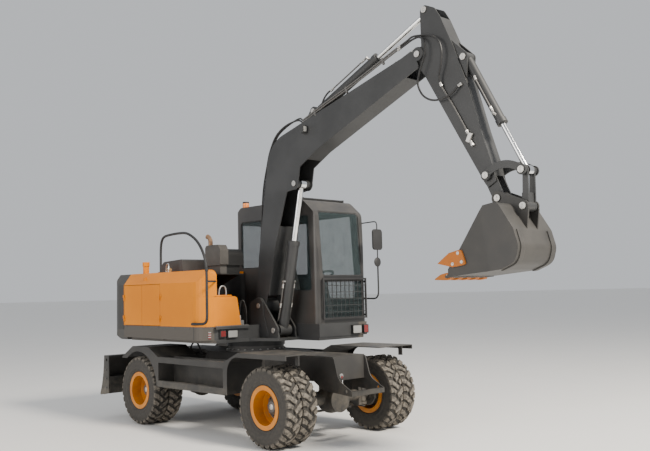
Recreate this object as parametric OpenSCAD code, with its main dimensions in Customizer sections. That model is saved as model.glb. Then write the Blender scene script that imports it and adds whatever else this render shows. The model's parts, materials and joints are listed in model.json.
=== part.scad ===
// Wheeled excavator with twin tyres, a dozer blade at the rear and a backhoe bucket.
// Millimetres. X points forward to the boom end, Y to the left, Z up. The origin lies on the
// ground under the middle of the machine as it stands, with its arm reaching forward.

/* [Running gear] */
// Distance between the two axles
wheelbase = 2720; // [2600:10:2900]
// How far the front axle stands ahead of the slewing centre
front_axle_ahead = 1440; // [1380:10:1500]
// Outside diameter of a tyre over its lugs
tyre_d = 920; // [880:5:930]
// Width of one tyre
tyre_w = 212; // [190:1:216]
// Gap between the two tyres of a pair
twin_gap = 13; // [8:1:20]
// Width of the machine over its outer tyres
over_tyres = 2102; // [2060:2:2200]
// Diameter of a rim over its flanges
rim_d = 498; // [460:2:520]
// Radius of the dark hub face bolted over the outer rim
hub_face_r = 146; // [120:1:160]
// Distance of a steering kingpin from the centre plane
kingpin_y = 540; // [520:2:560]
// Radius of an axle tube
axle_tube_r = 66; // [55:1:75]
// Radius of the bowl that holds a differential
diff_r = 175; // [150:1:190]

/* [Chassis] */
// Height of the chassis deck above the ground
deck_z = 985; // [960:5:1000]
// Depth of the main box beam
beam_h = 300; // [260:5:340]
// Width of the main box beam between the wheels
beam_w = 530; // [480:5:560]
// Front end of the box beam, ahead of the slewing centre
beam_front = 1765; // [1700:5:1850]
// Rear end of the box beam, behind the slewing centre
beam_rear = 1660; // [1600:5:1700]
// Width of the chassis over the fenders
fender_w = 2100; // [2000:5:2200]
// Distance of a fender's inner edge from the centre plane
fender_in = 450; // [430:5:500]
// Height of the flat top of a fender
fender_z = 1055; // [1045:1:1075]
// Thickness of fender and step plate
fender_t = 10; // [8:1:14]

/* [Dozer blade] */
// Width of the blade
blade_w = 2100; // [1900:10:2200]
// Height of the blade
blade_h = 560; // [500:5:600]
// Height of the blade's cutting edge as it is parked
blade_z = 335; // [300:5:400]
// Distance of the blade's cutting edge behind the slewing centre
blade_x = 2360; // [2300:5:2420]

/* [Upper body] */
// Width of the upper body
body_w = 2060; // [2000:5:2090]
// Height of the floor plate's underside
floor_z = 1130; // [1115:1:1150]
// Height of the seam between the skirt and the hood
seam_z = 1338; // [1320:2:1360]
// Height of the hood's flat top
hood_z = 2055; // [1980:5:2100]
// Height at which the hood's side leans inward
hood_lean_z = 1900; // [1850:5:1950]
// How far the hood's side leans inward
hood_lean = 115; // [60:5:160]
// Front face of the hood, ahead of the slewing centre
hood_front = 300; // [260:5:340]
// Radius of the hood's front corner
hood_r = 250; // [200:5:300]
// Inner side of the hood's narrow right front, outward of the valve bay
cheek_in = 840; // [780:5:880]
// Thickness of hood walls and doors with their frames
hood_t = 30; // [22:1:40]
// Seam between counterweight and hood, behind the slewing centre
tail_seam = 1700; // [1660:5:1740]
// Rear face of the counterweight, behind the slewing centre
tail_x = 2090; // [2050:5:2130]
// Height of the fuel tank's top
tank_z = 1715; // [1650:5:1780]
// Inner side of the fuel tank at its foot, to the right of the centre plane
tank_in = 474; // [440:2:520]
// How far the fuel tank's inner side leans outward
tank_lean = 59; // [40:1:80]
// Front edge of the step ledge under the fuel tank
ledge_x = 340; // [320:2:370]

/* [Cab] */
// Inner side of the cab, to the left of the centre plane
cab_in = 172; // [168:2:200]
// Width of the cab
cab_w = 878; // [850:2:890]
// Front face of the cab
cab_front = 1080; // [1060:5:1090]
// Rear face of the cab
cab_rear = 640; // [600:5:660]
// Height of the cab roof
cab_top = 2960; // [2900:5:3000]
// Thickness of cab walls and posts
cab_t = 46; // [40:1:55]
// Thickness of the window glass
glass_t = 6; // [5:1:8]
// Distance of a door's hinge line outside the wall it hangs on
hinge_out = 8; // [7:1:12]

/* [Boom and stick] */
// Height of the boom's foot pin
foot_z = 1580; // [1570:2:1600]
// Straight distance from foot pin to tip pin of the boom
boom_len = 3904; // [3850:2:3950]
// Angle of the line from foot pin to tip pin above the ground
boom_angle = 44.2; // [43:0.1:46]
// Width of the boom over its side plates
boom_w = 250; // [230:2:270]
// Depth of the boom at its knee
knee_depth = 470; // [430:2:490]
// Depth of the boom at its foot
foot_depth = 210; // [190:2:230]
// Depth of the boom at its tip
tip_depth = 205; // [190:2:220]
// Distance from stick pivot to bucket pin
stick_len = 1923; // [1880:2:1950]
// Slope of the stick below the ground line's direction
stick_angle = 60.5; // [59:0.1:62]
// Width of the stick over its side plates
stick_w = 180; // [170:2:190]
// Thickness of boom and stick side plates
arm_plate = 12; // [10:1:16]

/* [Bucket] */
// Width of the bucket over its side plates
bucket_w = 670; // [600:5:760]
// Thickness of the bucket's side plates
bucket_side_t = 18; // [14:1:22]
// Thickness of the bucket's curved shell
bucket_shell_t = 14; // [12:1:18]
// Number of teeth on the lip
teeth = 5; // [4:1:6]
// Width of a tooth
tooth_w = 62; // [50:2:70]

/* [Cylinders] */
// Radius of the boom cylinder's barrel
ram_r = 68; // [60:1:75]
// Radius of the boom cylinder's rod
ram_rod_r = 36; // [30:1:40]
// Radius of the stick cylinder's barrel
arm_r = 58; // [50:1:62]
// Radius of the stick cylinder's rod
arm_rod_r = 31; // [26:1:35]
// Radius of the bucket cylinder's barrel
dip_r = 50; // [44:1:55]
// Radius of the bucket cylinder's rod
dip_rod_r = 28; // [24:1:32]
// Radius of the pins in boom, stick and cylinders
pin_r = 30; // [26:1:34]
// Running clearance of a pin or rod in its bore
run_gap = 0.05; // [0.03:0.01:0.08]

/* [Hidden] */
$fn = 48;
dark = "#3b3a3b";
grey = "#5d5851";
black = "#232323";
orange = "#f08a1c";
amber = "#f5a21e";
chrome = "#c9ccd0";

// The slewing centre lies this far from the middle of the machine's length
slew_x = -1010;
axle_z = tyre_d / 2;
front_axle_x = slew_x + front_axle_ahead;
rear_axle_x = front_axle_x - wheelbase;
twin_y = over_tyres / 2 - tyre_w - twin_gap / 2;
steps = 8;

function unit(v) = v / norm(v);
function turn(v, a) = [v.x * cos(a) - v.y * sin(a), v.x * sin(a) + v.y * cos(a)];
function left_of(v) = [-v.y, v.x];
function cross2(a, b) = a.x * b.y - a.y * b.x;
// Point where the line through p along d meets the line through q along e
function meet(p, d, q, e) = p + d * cross2(q - p, e) / cross2(d, e);

// Corner b between a and c, rounded with radius r
function corner(a, b, c, r) =
  let (u = unit(a - b), w = unit(c - b), half = acos(u * w) / 2)
  let (o = b + unit(u + w) * r / sin(half), p = b + u * r / tan(half), q = b + w * r / tan(half))
  let (a1 = atan2(p.y - o.y, p.x - o.x), a2 = atan2(q.y - o.y, q.x - o.x))
  let (da = (a2 - a1 + 540) % 360 - 180)
  [for (i = [0:steps]) o + r * [cos(a1 + da * i / steps), sin(a1 + da * i / steps)]];

// Outline from [x, z, radius] rows, with every corner rounded by its radius
function rounded(rows) = [
  for (i = [0:len(rows) - 1])
    let (n = len(rows), a = rows[(i + n - 1) % n], b = rows[i], c = rows[(i + 1) % n])
    each b[2] > 0 ? corner([a.x, a.y], [b.x, b.y], [c.x, c.y], b[2]) : [[b.x, b.y]]
];

// Open line with its inner corners rounded, for plates that follow a bend
function bent(rows) = [
  for (i = [0:len(rows) - 1])
    let (b = rows[i])
    each (i > 0 && i < len(rows) - 1 && b[2] > 0)
      ? corner([rows[i - 1].x, rows[i - 1].y], [b.x, b.y], [rows[i + 1].x, rows[i + 1].y], b[2])
      : [[b.x, b.y]]
];

// Line moved sideways by t, to its left where t is positive
function shifted(path, t) = [
  for (i = [0:len(path) - 1])
    let (a = i > 0 ? unit(path[i] - path[i - 1]) : unit(path[1] - path[0]))
    let (b = i < len(path) - 1 ? unit(path[i + 1] - path[i]) : a)
    let (m = unit(left_of(a) + left_of(b)))
    path[i] + m * t / (m * left_of(a))
];

function backwards(list) = [for (i = [len(list) - 1:-1:0]) list[i]];

// Band of thickness t along the left side of a line
function strip(path, t) = concat(path, backwards(shifted(path, t)));

// Four points that carry a round eye of radius r at p on the edge from a to b
function lug(p, r, a, b) =
  let (s = sign(cross2(a - p, b - p)))
  [a, p + r * unit(turn(a - p, -90 * s)), p + r * unit(turn(b - p, 90 * s)), b];

// Curved band of width w from p to q, bowed to the left by sag
function bow(p, q, sag, w) =
  let (c = norm(q - p) / 2, r = (c * c + sag * sag) / (2 * sag), m = (p + q) / 2)
  let (o = m - unit(left_of(q - p)) * (r - sag), a1 = atan2((p - o).y, (p - o).x))
  let (da = (atan2((q - o).y, (q - o).x) - a1 + 540) % 360 - 180, n = 12)
  concat(
    [for (i = [0:n]) o + (r + w / 2) * [cos(a1 + da * i / n), sin(a1 + da * i / n)]],
    [for (i = [n:-1:0]) o + (r - w / 2) * [cos(a1 + da * i / n), sin(a1 + da * i / n)]]
  );

// Plate in the X-Z plane, t thick, with its middle at y
module plate(y, t) {
  translate([0, y + t / 2, 0]) rotate([90, 0, 0]) linear_extrude(t) children();
}

// Round bar along Y through p, with its middle at y
module cross_pin(p, r, w, y = 0) {
  translate([p.x, y + w / 2, p.y]) rotate([90, 0, 0]) cylinder(r = r, h = w);
}

// Eye and lug of radius r at p, standing on the line from a to b
module eye_plate(p, r, a, b) {
  translate(p) circle(r);
  polygon(lug(p, r, a, b));
}

// Places what follows in the upper body's own frame
module at_slew() {
  translate([slew_x, 0, 0]) children();
}

// Pipe of radius r that follows points in space, eight-sided
function ring_at(path, i, r, up) =
  let (a = path[max(i - 1, 0)], b = path[min(i + 1, len(path) - 1)], t = unit(b - a))
  let (n = unit(cross(t, up)), m = cross(n, t))
  [for (k = [0:7]) path[i] + r * (n * cos(k * 45 + 22.5) + m * sin(k * 45 + 22.5))];

module pipe(path, r, up = [0.31, 0.17, 0.9]) {
  n = len(path);
  rings = [for (i = [0:n - 1]) each ring_at(path, i, r, up)];
  sides = [
    for (i = [0:n - 2], k = [0:7])
      [i * 8 + k, i * 8 + (k + 1) % 8, (i + 1) * 8 + (k + 1) % 8, (i + 1) * 8 + k]
  ];
  polyhedron(rings, concat([[7, 6, 5, 4, 3, 2, 1, 0]], sides, [[for (k = [0:7]) (n - 1) * 8 + k]]));
}

// Line in space whose corners are cut back by r and rounded
function eased(points, r) = [
  for (i = [0:len(points) - 1])
    let (b = points[i])
    each (i == 0 || i == len(points) - 1)
      ? [b]
      : let (p = b + unit(points[i - 1] - b) * r, q = b + unit(points[i + 1] - b) * r)
        [for (k = [0:4]) let (s = k / 4) p * (1 - s) * (1 - s) + b * 2 * s * (1 - s) + q * s * s]
];

// Wheels and axles
bead_r = rim_d / 2 - 43;
half_w = tyre_w / 2;
flange_t = 12;
flange_in = half_w - 30;
disc_t = 10;
disc_y = tyre_w / 2 + twin_gap / 2;
spindle_r = 60;
hub_in = kingpin_y + 78;
hub_bore_end = twin_y - 48;
yoke_r = 55;
yoke_z = 92;
yoke_t = 32;
kingpin_r = 22;
arm_back = 190;
arm_in = 30;
arm_z = -yoke_z - yoke_t - 28;
tie_z = arm_z - 16;

// Half outline of a tyre's section: radius, distance from its middle plane
function tyre_half() = [
  [bead_r, flange_in - 0.3], [rim_d / 2 + 2, flange_in - 0.3], [rim_d / 2 + 8, half_w - 20],
  [rim_d / 2 + 50, half_w - 5], [rim_d / 2 + 100, half_w], [tyre_d / 2 - 62, half_w - 2],
  [tyre_d / 2 - 22, half_w - 8], [tyre_d / 2 - 5, half_w - 16], [tyre_d / 2, half_w - 26]
];

module around_y(y) {
  translate([0, y, 0]) rotate([-90, 0, 0]) children();
}

module tyre() {
  half = tyre_half();
  other = [for (i = [len(half) - 1:-1:0]) [half[i].x, -half[i].y]];
  rotate_extrude($fn = 64) polygon(concat(half, other));
}

// Rim with its dished disc towards -t, where the two rims of a pair meet
module rim() {
  inner = bead_r - 10;
  edge = flange_in + flange_t;
  rotate_extrude($fn = 64) polygon([
    [rim_d / 2, edge], [rim_d / 2, flange_in], [bead_r - 0.3, flange_in], [bead_r - 0.3, -flange_in],
    [rim_d / 2, -flange_in], [rim_d / 2, -edge], [inner, -edge], [inner, -edge + 22],
    [inner - 24, -disc_y], [100, -disc_y], [100, disc_t - disc_y], [inner - 30, disc_t - disc_y],
    [inner - 6, -edge + 34], [inner, -edge + 34], [inner, edge]
  ]);
}

// Pair of wheels on a hub: kind picks tyres, rims or hub; side is -1 on the right
module twin(kind, x, side) {
  translate([x, 0, axle_z]) mirror([0, side < 0 ? 1 : 0, 0]) {
    if (kind == "tyres") {
      color(black) around_y(twin_y + disc_y) tyre();
      color(black) around_y(twin_y - disc_y) tyre();
    }
    if (kind == "rims") {
      color(orange) around_y(twin_y + disc_y) rim();
      color(orange) around_y(twin_y - disc_y) mirror([0, 0, 1]) rim();
    }
    if (kind == "hub") color(black) around_y(0) hub();
  }
}

// Hub drum, clamping face and planetary cap, turned from one outline
module hub() {
  seat = twin_y - disc_t - 0.3;
  clamp = twin_y + disc_t + 0.3;
  rotate_extrude() polygon([
    [spindle_r + run_gap, hub_in], [142, hub_in], [152, hub_in + 12], [152, hub_in + 92], [160, hub_in + 104],
    [160, seat - 14], [155, seat], [99, seat], [99, clamp], [hub_face_r, clamp], [hub_face_r, clamp + 13],
    [96, clamp + 16], [88, clamp + 60], [62, clamp + 70], [36, clamp + 72], [36, clamp + 80],
    [0, clamp + 80], [0, hub_bore_end], [spindle_r + run_gap, hub_bore_end]
  ]);
}

module spindle(from) {
  around_y(from) cylinder(r = spindle_r, h = hub_bore_end - 5 - from);
}

module knuckle(side) {
  color(dark) translate([front_axle_x, 0, axle_z]) mirror([0, side < 0 ? 1 : 0, 0]) {
    translate([0, kingpin_y, 0]) {
      translate([0, 0, 6 - yoke_z]) cylinder(r = yoke_r - 7, h = 2 * yoke_z - 12);
      translate([0, 0, arm_z]) cylinder(r = kingpin_r, h = yoke_z + yoke_t + 6 - arm_z);
      translate([0, 0, arm_z]) linear_extrude(22) {
        circle(38);
        translate([-arm_back, -arm_in]) circle(26);
        polygon([[-arm_back, -arm_in - 26], [0, -38], [0, 38], [-arm_back, 26 - arm_in]]);
      }
    }
    around_y(kingpin_y) cylinder(r = 58, h = hub_in - kingpin_y - 22);
    around_y(hub_in - 22) cylinder(r = 84, h = 13);
    spindle(hub_in - 15);
  }
}

module axle_middle() {
  sphere(r = diff_r);
  rotate([0, 90, 0]) cylinder(r = diff_r - 22, h = diff_r - 4);
}

module front_axle() {
  color(dark) translate([front_axle_x, 0, axle_z]) {
    axle_middle();
    around_y(-kingpin_y + 75) cylinder(r = axle_tube_r, h = 2 * kingpin_y - 150);
    rotate([0, -90, 0]) cylinder(r = 62, h = diff_r + 90);
    for (side = [-1, 1]) {
      translate([0, side * (kingpin_y - 96), 0]) cube([2 * yoke_r, 44, 2 * (yoke_z + yoke_t)], center = true);
      for (z = [-yoke_z - yoke_t, yoke_z]) translate([0, 0, z]) difference() {
        union() {
          translate([0, side * kingpin_y, 0]) cylinder(r = yoke_r, h = yoke_t);
          translate([-yoke_r, side * (kingpin_y - 55) - 55, 0]) cube([2 * yoke_r, 110, yoke_t]);
        }
        translate([0, side * kingpin_y, -1]) cylinder(r = kingpin_r + run_gap, h = yoke_t + 2);
      }
    }
    translate([-80, -120, axle_tube_r - 20]) cube([160, 240, deck_z - beam_h - axle_z - axle_tube_r + 20 - 0.3]);
  }
}

module rear_axle() {
  color(dark) translate([rear_axle_x, 0, axle_z]) {
    mirror([1, 0, 0]) axle_middle();
    around_y(24 - hub_in) cylinder(r = axle_tube_r, h = 2 * (hub_in - 24));
    rotate([0, 90, 0]) cylinder(r = 62, h = diff_r + 90);
    for (side = [-1, 1]) mirror([0, side < 0 ? 1 : 0, 0]) {
      around_y(hub_in - 28) cylinder(r = 110, h = 18);
      spindle(hub_in - 15);
      translate([-95, 190, 0]) cube([190, 60, deck_z - beam_h - axle_z - 0.3]);
    }
  }
}

module tie_rod() {
  color(chrome) translate([front_axle_x - arm_back, 0, axle_z + tie_z]) {
    around_y(arm_in - kingpin_y) cylinder(r = 15, h = 2 * (kingpin_y - arm_in));
    for (side = [-1, 1]) translate([0, side * (kingpin_y - arm_in), -14]) cylinder(r = 24, h = 30 - seat_gap);
  }
}

// Gearbox between the axles with a shaft to each differential
gear_x = 60;
shaft_gap = 2;
module drive_line() {
  color(black) at_slew() {
    translate([gear_x - 170, -150, axle_z - 60]) cube([340, 300, deck_z - beam_h - axle_z + 60 - 0.3]);
    front_end = front_axle_ahead - diff_r - 90 - shaft_gap;
    rear_end = front_axle_ahead - wheelbase + diff_r + 90 + shaft_gap;
    translate([rear_end, 0, axle_z]) rotate([0, 90, 0]) cylinder(r = 34, h = front_end - rear_end);
    for (x = [rear_end, front_end - 26]) {
      translate([x, 0, axle_z]) rotate([0, 90, 0]) cylinder(r = 56, h = 26);
    }
  }
}

// Chassis
blade_pivot = [-1560, 560];
blade_ram_base = [-1700, 895];
blade_ram_eye = [-2085, 650];
blade_arm_y = 200;
blade_arm_t = 40;
blade_pin_r = 26;
blade_ram_y = 100;
front_plate_y = 262;
lash_r = 20;
ring_r = 396;
ring_wall_r = 372;
ring_bolts = 24;
flare_half = 430;

module chassis() {
  color(dark) at_slew() {
    intersection() {
      translate([0, 0, deck_z - beam_h]) linear_extrude(beam_h) polygon(rounded([
        [beam_front, -beam_w / 2, 0], [beam_front, beam_w / 2, 0], [900, beam_w / 2, 80], [560, flare_half, 80],
        [-520, flare_half, 80], [-800, beam_w / 2, 80], [-beam_rear, beam_w / 2, 0], [-beam_rear, -beam_w / 2, 0],
        [-800, -beam_w / 2, 80], [-520, -flare_half, 80], [560, -flare_half, 80], [900, -beam_w / 2, 80]
      ]));
      plate(0, 1000) polygon([
        [beam_front, deck_z], [beam_front, deck_z - beam_h + 20], [front_axle_ahead, deck_z - beam_h],
        [-beam_rear + 260, deck_z - beam_h], [-beam_rear, deck_z - beam_h + 60], [-beam_rear, deck_z]
      ]);
    }
    for (side = [-1, 1]) plate(side * front_plate_y, 16) difference() {
      polygon(rounded([
        [beam_front - 330, deck_z - 12, 0], [beam_front + 20, deck_z - 12, 20],
        [beam_front + 95, 720, 180], [beam_front + 312, 606, 0], [beam_front + 312, 552, 0],
        [beam_front - 160, 590, 60], [beam_front - 330, 690, 0]
      ]));
      translate([beam_front + 220, 606]) circle(lash_r);
    }
    translate([beam_front + 262, -front_plate_y, 552]) cube([50, 2 * front_plate_y, 54]);
    for (side = [-1, 1], y = [-1, 1] * (blade_arm_t / 2 + 20)) {
      plate(side * blade_arm_y + y, 20) eye_plate(blade_pivot, 52, [-1470, 720], [-1650, 720]);
    }
    for (side = [-1, 1]) cross_pin(blade_pivot, blade_pin_r, 124, side * blade_arm_y);
    for (side = [-1, 1], y = [-50, 50]) {
      plate(side * blade_ram_y + y * 0.9, 20) eye_plate(blade_ram_base, 36, [-1650, 975], [-1650, 800]);
    }
    for (side = [-1, 1]) cross_pin(blade_ram_base, 18, 124, side * blade_ram_y);
  }
}

module slew_ring() {
  color(grey) at_slew() difference() {
    union() {
      translate([0, 0, deck_z]) cylinder(r = ring_r, h = 28);
      translate([0, 0, deck_z]) cylinder(r = ring_wall_r, h = 74);
    }
    translate([0, 0, deck_z - 1]) cylinder(r = ring_wall_r - 82, h = 80);
    for (i = [0:ring_bolts - 1]) rotate([0, 0, i * 360 / ring_bolts]) {
      translate([ring_r - 12, 0, deck_z + 20]) cylinder(r = 7, h = 10, $fn = 16);
    }
  }
}

// Fenders and step frames
arch_r = 478;
arch_lift = 50;
rear_arch = [
  [-beam_rear - 57, 897], [-beam_rear + 230, fender_z], [-1010, fender_z], [-758, 925], [-758, 550]
];
front_arch = [[690, 550], [690, 930], [985, fender_z], [1850, fender_z]];
step_y = 800;
step_deep = 60;

module fender_side() {
  half = fender_w / 2;
  cover = half - fender_in;
  rear_x = front_axle_ahead - wheelbase;
  at_slew() {
    plate(half - fender_t / 2, fender_t) difference() {
      polygon(concat(rear_arch, [[-beam_rear - 57, 550]]));
      translate([rear_x, axle_z + arch_lift]) circle(arch_r, $fn = 96);
      translate([-beam_rear - 100, 500]) square([beam_rear + 100 + rear_x, 385]);
    }
    plate(half - fender_t / 2, fender_t) polygon(concat(
      front_arch,
      [[1850, fender_z - 55]],
      corner([1850, fender_z - 55], [768, fender_z - 55], [768, 550], 190),
      [[768, 550]]
    ));
    plate(half - cover / 2, cover) polygon(strip(rear_arch, -fender_t));
    plate(half - cover / 2, cover) polygon(strip(front_arch, -fender_t));
    translate([-762, half - step_deep, 860]) cube([1456, step_deep, 75]);
    translate([-762, half - step_deep, 545]) cube([1456, step_deep, 82]);
    translate([-762, step_y, 545]) cube([1456, half - step_y, 14]);
    translate([-762, step_y, 545]) cube([1456, fender_t, 385]);
    strut_y = flare_half + seat_gap;
    for (x = [-500, 380]) translate([x, strut_y, 700]) cube([90, step_y + 10 - strut_y, 110]);
    for (x = [-768, 690]) translate([x, 420, 700]) cube([fender_t, half - 425, 225]);
    translate([1790, 850, fender_z - 120]) cube([60, 12, 115]);
  }
}

module fenders() {
  color(dark) fender_side();
  color(dark) mirror([0, 1, 0]) fender_side();
}

// Blade
blade_top_x = -2245;
blade_back_x = -2105;
blade_ram_l = 365;

function blade_face() = [
  [-blade_x, blade_z], [-blade_x + 50, blade_z + 130], [-blade_x + 85, blade_z + 270],
  [-blade_x + 105, blade_z + 410], [blade_top_x, blade_z + blade_h]
];

module blade() {
  top = blade_z + blade_h;
  color(dark) at_slew() {
    difference() {
      plate(0, blade_w) polygon(strip(blade_face(), -26));
      plate(0, 2 * blade_w) translate([-3000, top - 0.01]) square([2000, 100]);
    }
    for (side = [-1, 1]) plate(side * (blade_w / 2 - 8), 16) difference() {
      polygon(concat(
        blade_face(), [[blade_back_x, top], [blade_back_x, blade_z + 22], [-blade_x + 120, blade_z]]
      ));
      translate([blade_back_x - 65, top - 62]) circle(lash_r);
    }
    plate(0, blade_w - 40) polygon([
      [blade_top_x - 30, top - 30], [blade_back_x, top - 30], [blade_back_x, top], [blade_top_x, top]
    ]);
    plate(0, blade_w - 40) polygon([
      [-2255, blade_z + 150], [blade_back_x, blade_z + 150], [blade_back_x, blade_z + 260],
      [-2255, blade_z + 260]
    ]);
    for (side = [-1, 1]) difference() {
      plate(side * blade_arm_y, blade_arm_t) {
        translate(blade_pivot) circle(46);
        polygon(lug(blade_pivot, 46, [-2130, blade_z + 110], [-2130, blade_z + 300]));
      }
      cross_pin(blade_pivot, blade_pin_r + run_gap, blade_arm_t + 2, side * blade_arm_y);
    }
    for (side = [-1, 1], y = [-42, 42]) {
      plate(side * blade_ram_y + y, 16) eye_plate(blade_ram_eye, 34, [-2262, 590], [-2262, 740]);
    }
  }
}

// Cylinders lie along local +X from their foot pin; the rod's eye carries its own length of pin
module ram_frame(foot, eye) {
  translate([foot.x, 0, foot.y]) rotate([0, -atan2(eye.y - foot.y, eye.x - foot.x), 0]) children();
}

module barrel(foot, eye, length, r, rod_r, eye_r, eye_w, bore_r) {
  base = eye_r + 8;
  ram_frame(foot, eye) difference() {
    union() {
      rotate([90, 0, 0]) cylinder(r = eye_r, h = eye_w, center = true);
      rotate([0, 90, 0]) cylinder(r = min(r, eye_w / 2) - 4, h = base + 1);
      translate([base, 0, 0]) rotate([0, 90, 0]) cylinder(r = r, h = length - base - 8);
      translate([length - 62, 0, 0]) rotate([0, 90, 0]) cylinder(r = r + 7, h = 54);
      translate([length - 9, 0, 0]) rotate([0, 90, 0]) cylinder(r = rod_r + 12, h = 9);
    }
    rotate([90, 0, 0]) cylinder(r = bore_r, h = eye_w + 2, center = true);
    translate([base + 4, 0, 0]) rotate([0, 90, 0]) cylinder(r = rod_r + run_gap, h = length);
  }
}

module rod(foot, eye, rod_r, eye_r, eye_w, rod_len) {
  rest = norm(eye - foot);
  ram_frame(foot, eye) {
    translate([rest - rod_len, 0, 0]) rotate([0, 90, 0]) cylinder(r = rod_r, h = rod_len);
    translate([rest, 0, 0]) rotate([90, 0, 0]) cylinder(r = eye_r, h = eye_w, center = true);
  }
}

module blade_barrels() {
  color(dark) at_slew() for (side = [-1, 1]) translate([0, side * blade_ram_y, 0])
    barrel(blade_ram_base, blade_ram_eye, blade_ram_l, 42, 22, 34, 56, 18 + run_gap);
}

module blade_rods() {
  color(chrome) at_slew() for (side = [-1, 1]) translate([0, side * blade_ram_y, 0])
    rod(blade_ram_base, blade_ram_eye, 22, 30, 56, 375);
}

module tyres_front_left() { twin("tyres", front_axle_x, 1); }
module tyres_front_right() { twin("tyres", front_axle_x, -1); }
module tyres_rear_left() { twin("tyres", rear_axle_x, 1); }
module tyres_rear_right() { twin("tyres", rear_axle_x, -1); }
module rims_front_left() { twin("rims", front_axle_x, 1); }
module rims_front_right() { twin("rims", front_axle_x, -1); }
module rims_rear_left() { twin("rims", rear_axle_x, 1); }
module rims_rear_right() { twin("rims", rear_axle_x, -1); }
module hub_front_left() { twin("hub", front_axle_x, 1); }
module hub_front_right() { twin("hub", front_axle_x, -1); }
module hub_rear_left() { twin("hub", rear_axle_x, 1); }
module hub_rear_right() { twin("hub", rear_axle_x, -1); }
module knuckle_left() { knuckle(1); }
module knuckle_right() { knuckle(-1); }

// Upper body
half_body = body_w / 2;
skirt_t = 12;
floor_t = 38;
foot = [270, foot_z];
ram_foot = [foot.x + 298, foot_z - 318];
mast_t = 28;
mast_y = boom_w / 2 + 6 + mast_t / 2;
bearing_r = ring_r - 8;
pin_end = 9;
skirt_rise = 22;
ledge_lip = 33;
ledge_y = [885, 360];
seat_gap = 0.3;
lean_box = 4000;

module platform() {
  skirt_end = hood_front - hood_r;
  pin_w = 2 * mast_y + mast_t + 2 * pin_end;
  color(dark) at_slew() {
    translate([0, 0, deck_z + 74 + seat_gap]) {
      cylinder(r = bearing_r, h = floor_z - deck_z - 73 - seat_gap);
    }
    translate([0, 0, floor_z]) linear_extrude(floor_t) polygon(rounded([
      [-tail_seam + 60, -half_body + 90, 0], [skirt_end + 110, -half_body + 90, 0],
      [hood_front - 30, -ledge_y[0], 0], [ledge_x - 20, -ledge_y[0], 0], [ledge_x - 20, -ledge_y[1], 0],
      [ram_foot.x + 96, -boom_bay, 40], [ram_foot.x + 96, cab_in, 40],
      [cab_front - 10, cab_in, 0], [cab_front - 10, half_body - 20, 60],
      [-tail_seam + 60, half_body - 20, 0]
    ]));
    for (side = [-1, 1]) {
      plate(side * mast_y, mast_t) {
        translate(foot) circle(108);
        translate(ram_foot) circle(84);
        polygon([
          [-560, floor_z + floor_t], [-560, floor_z + 190], [-60, floor_z + 270],
          foot + turn([-108, 0], -18), foot + turn([0, 108], -42), ram_foot + turn([84, 0], 42),
          [ram_foot.x + 96, floor_z + floor_t]
        ]);
      }
      plate(side * (half_body - skirt_t / 2), skirt_t) polygon([
        [-tail_seam + 6, floor_z + 2 * skirt_rise], [-tail_seam + 6, seam_z], [skirt_end, seam_z],
        [skirt_end, floor_z + floor_t], [-600, floor_z + floor_t]
      ]);
    }
    translate([0, 0, floor_z + floor_t - 1]) linear_extrude(seam_z - floor_z - floor_t + 1) polygon(
      strip(bent([
        [skirt_end - 1, -half_body, 0], [hood_front, -half_body, hood_r], [hood_front, -boom_bay, 0]
      ]), skirt_t)
    );
    cross_pin(foot, pin_r, pin_w);
    cross_pin(ram_foot, pin_r, pin_w);
    for (x = [-tail_seam + 60, -700]) translate([x, 12 - half_body, floor_z + floor_t - 10]) {
      cube([skirt_t, 200, seam_z - floor_z - floor_t + 10]);
    }
    for (x = [-tail_seam + 60, -700]) translate([x, half_body - 212, floor_z + floor_t - 10]) {
      cube([skirt_t, 200, seam_z - floor_z - floor_t + 10]);
    }
    translate([hood_front - skirt_t, -ledge_y[0], seam_z - skirt_t]) {
      cube([ledge_x - hood_front + skirt_t, ledge_y[0] - ledge_y[1], skirt_t]);
    }
    translate([ledge_x - skirt_t, -ledge_y[0], seam_z - ledge_lip]) {
      cube([skirt_t, ledge_y[0] - ledge_y[1], ledge_lip]);
    }
    translate([-cab_rear, cab_in, floor_z + floor_t - 1]) {
      cube([cab_rear + cab_front, cab_w - 20, seam_z - floor_z - floor_t + 1]);
    }
    for (z = [floor_z + 55, seam_z - 30]) plate(half_body + 2, 36) polygon([
      [-cab_rear + 250, z], [cab_front - 60, z], [cab_front - 60, z + 16], [-cab_rear + 250, z + 16]
    ]);
  }
}

module counterweight() {
  low = floor_z + 2;
  color(dark) at_slew() intersection() {
    translate([0, 0, low]) linear_extrude(hood_z - low) polygon(rounded([
      [-tail_seam - 4, -half_body, 0], [-tail_seam - 4, half_body, 0], [-tail_x, half_body, 250],
      [-tail_x, -half_body, 250]
    ]));
    plate(0, lean_box) polygon(rounded([
      [-tail_seam - 4, low + 3, 0], [-tail_seam - 4, hood_z, 0], [-tail_x + 60, hood_z, 40],
      [-tail_x, hood_z - 150, 60], [-tail_x, low + 180, 120], [-tail_x + 160, low + 3, 160]
    ]));
    rotate([90, 0, 90]) translate([0, 0, -lean_box / 2]) linear_extrude(lean_box) polygon([
      [-half_body, low + 150], [-half_body, hood_lean_z], [-half_body + hood_lean, hood_z],
      [half_body - hood_lean, hood_z], [half_body, hood_lean_z], [half_body, low + 150],
      [half_body - 70, low], [-half_body + 70, low]
    ]);
  }
}

// Plan of the hood with the cab's and the boom's places left free; t moves its walls inwards
cab_bay = cab_in - 22;
boom_bay = mast_y + mast_t / 2 + 14;
bay_rear = -455;

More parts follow.
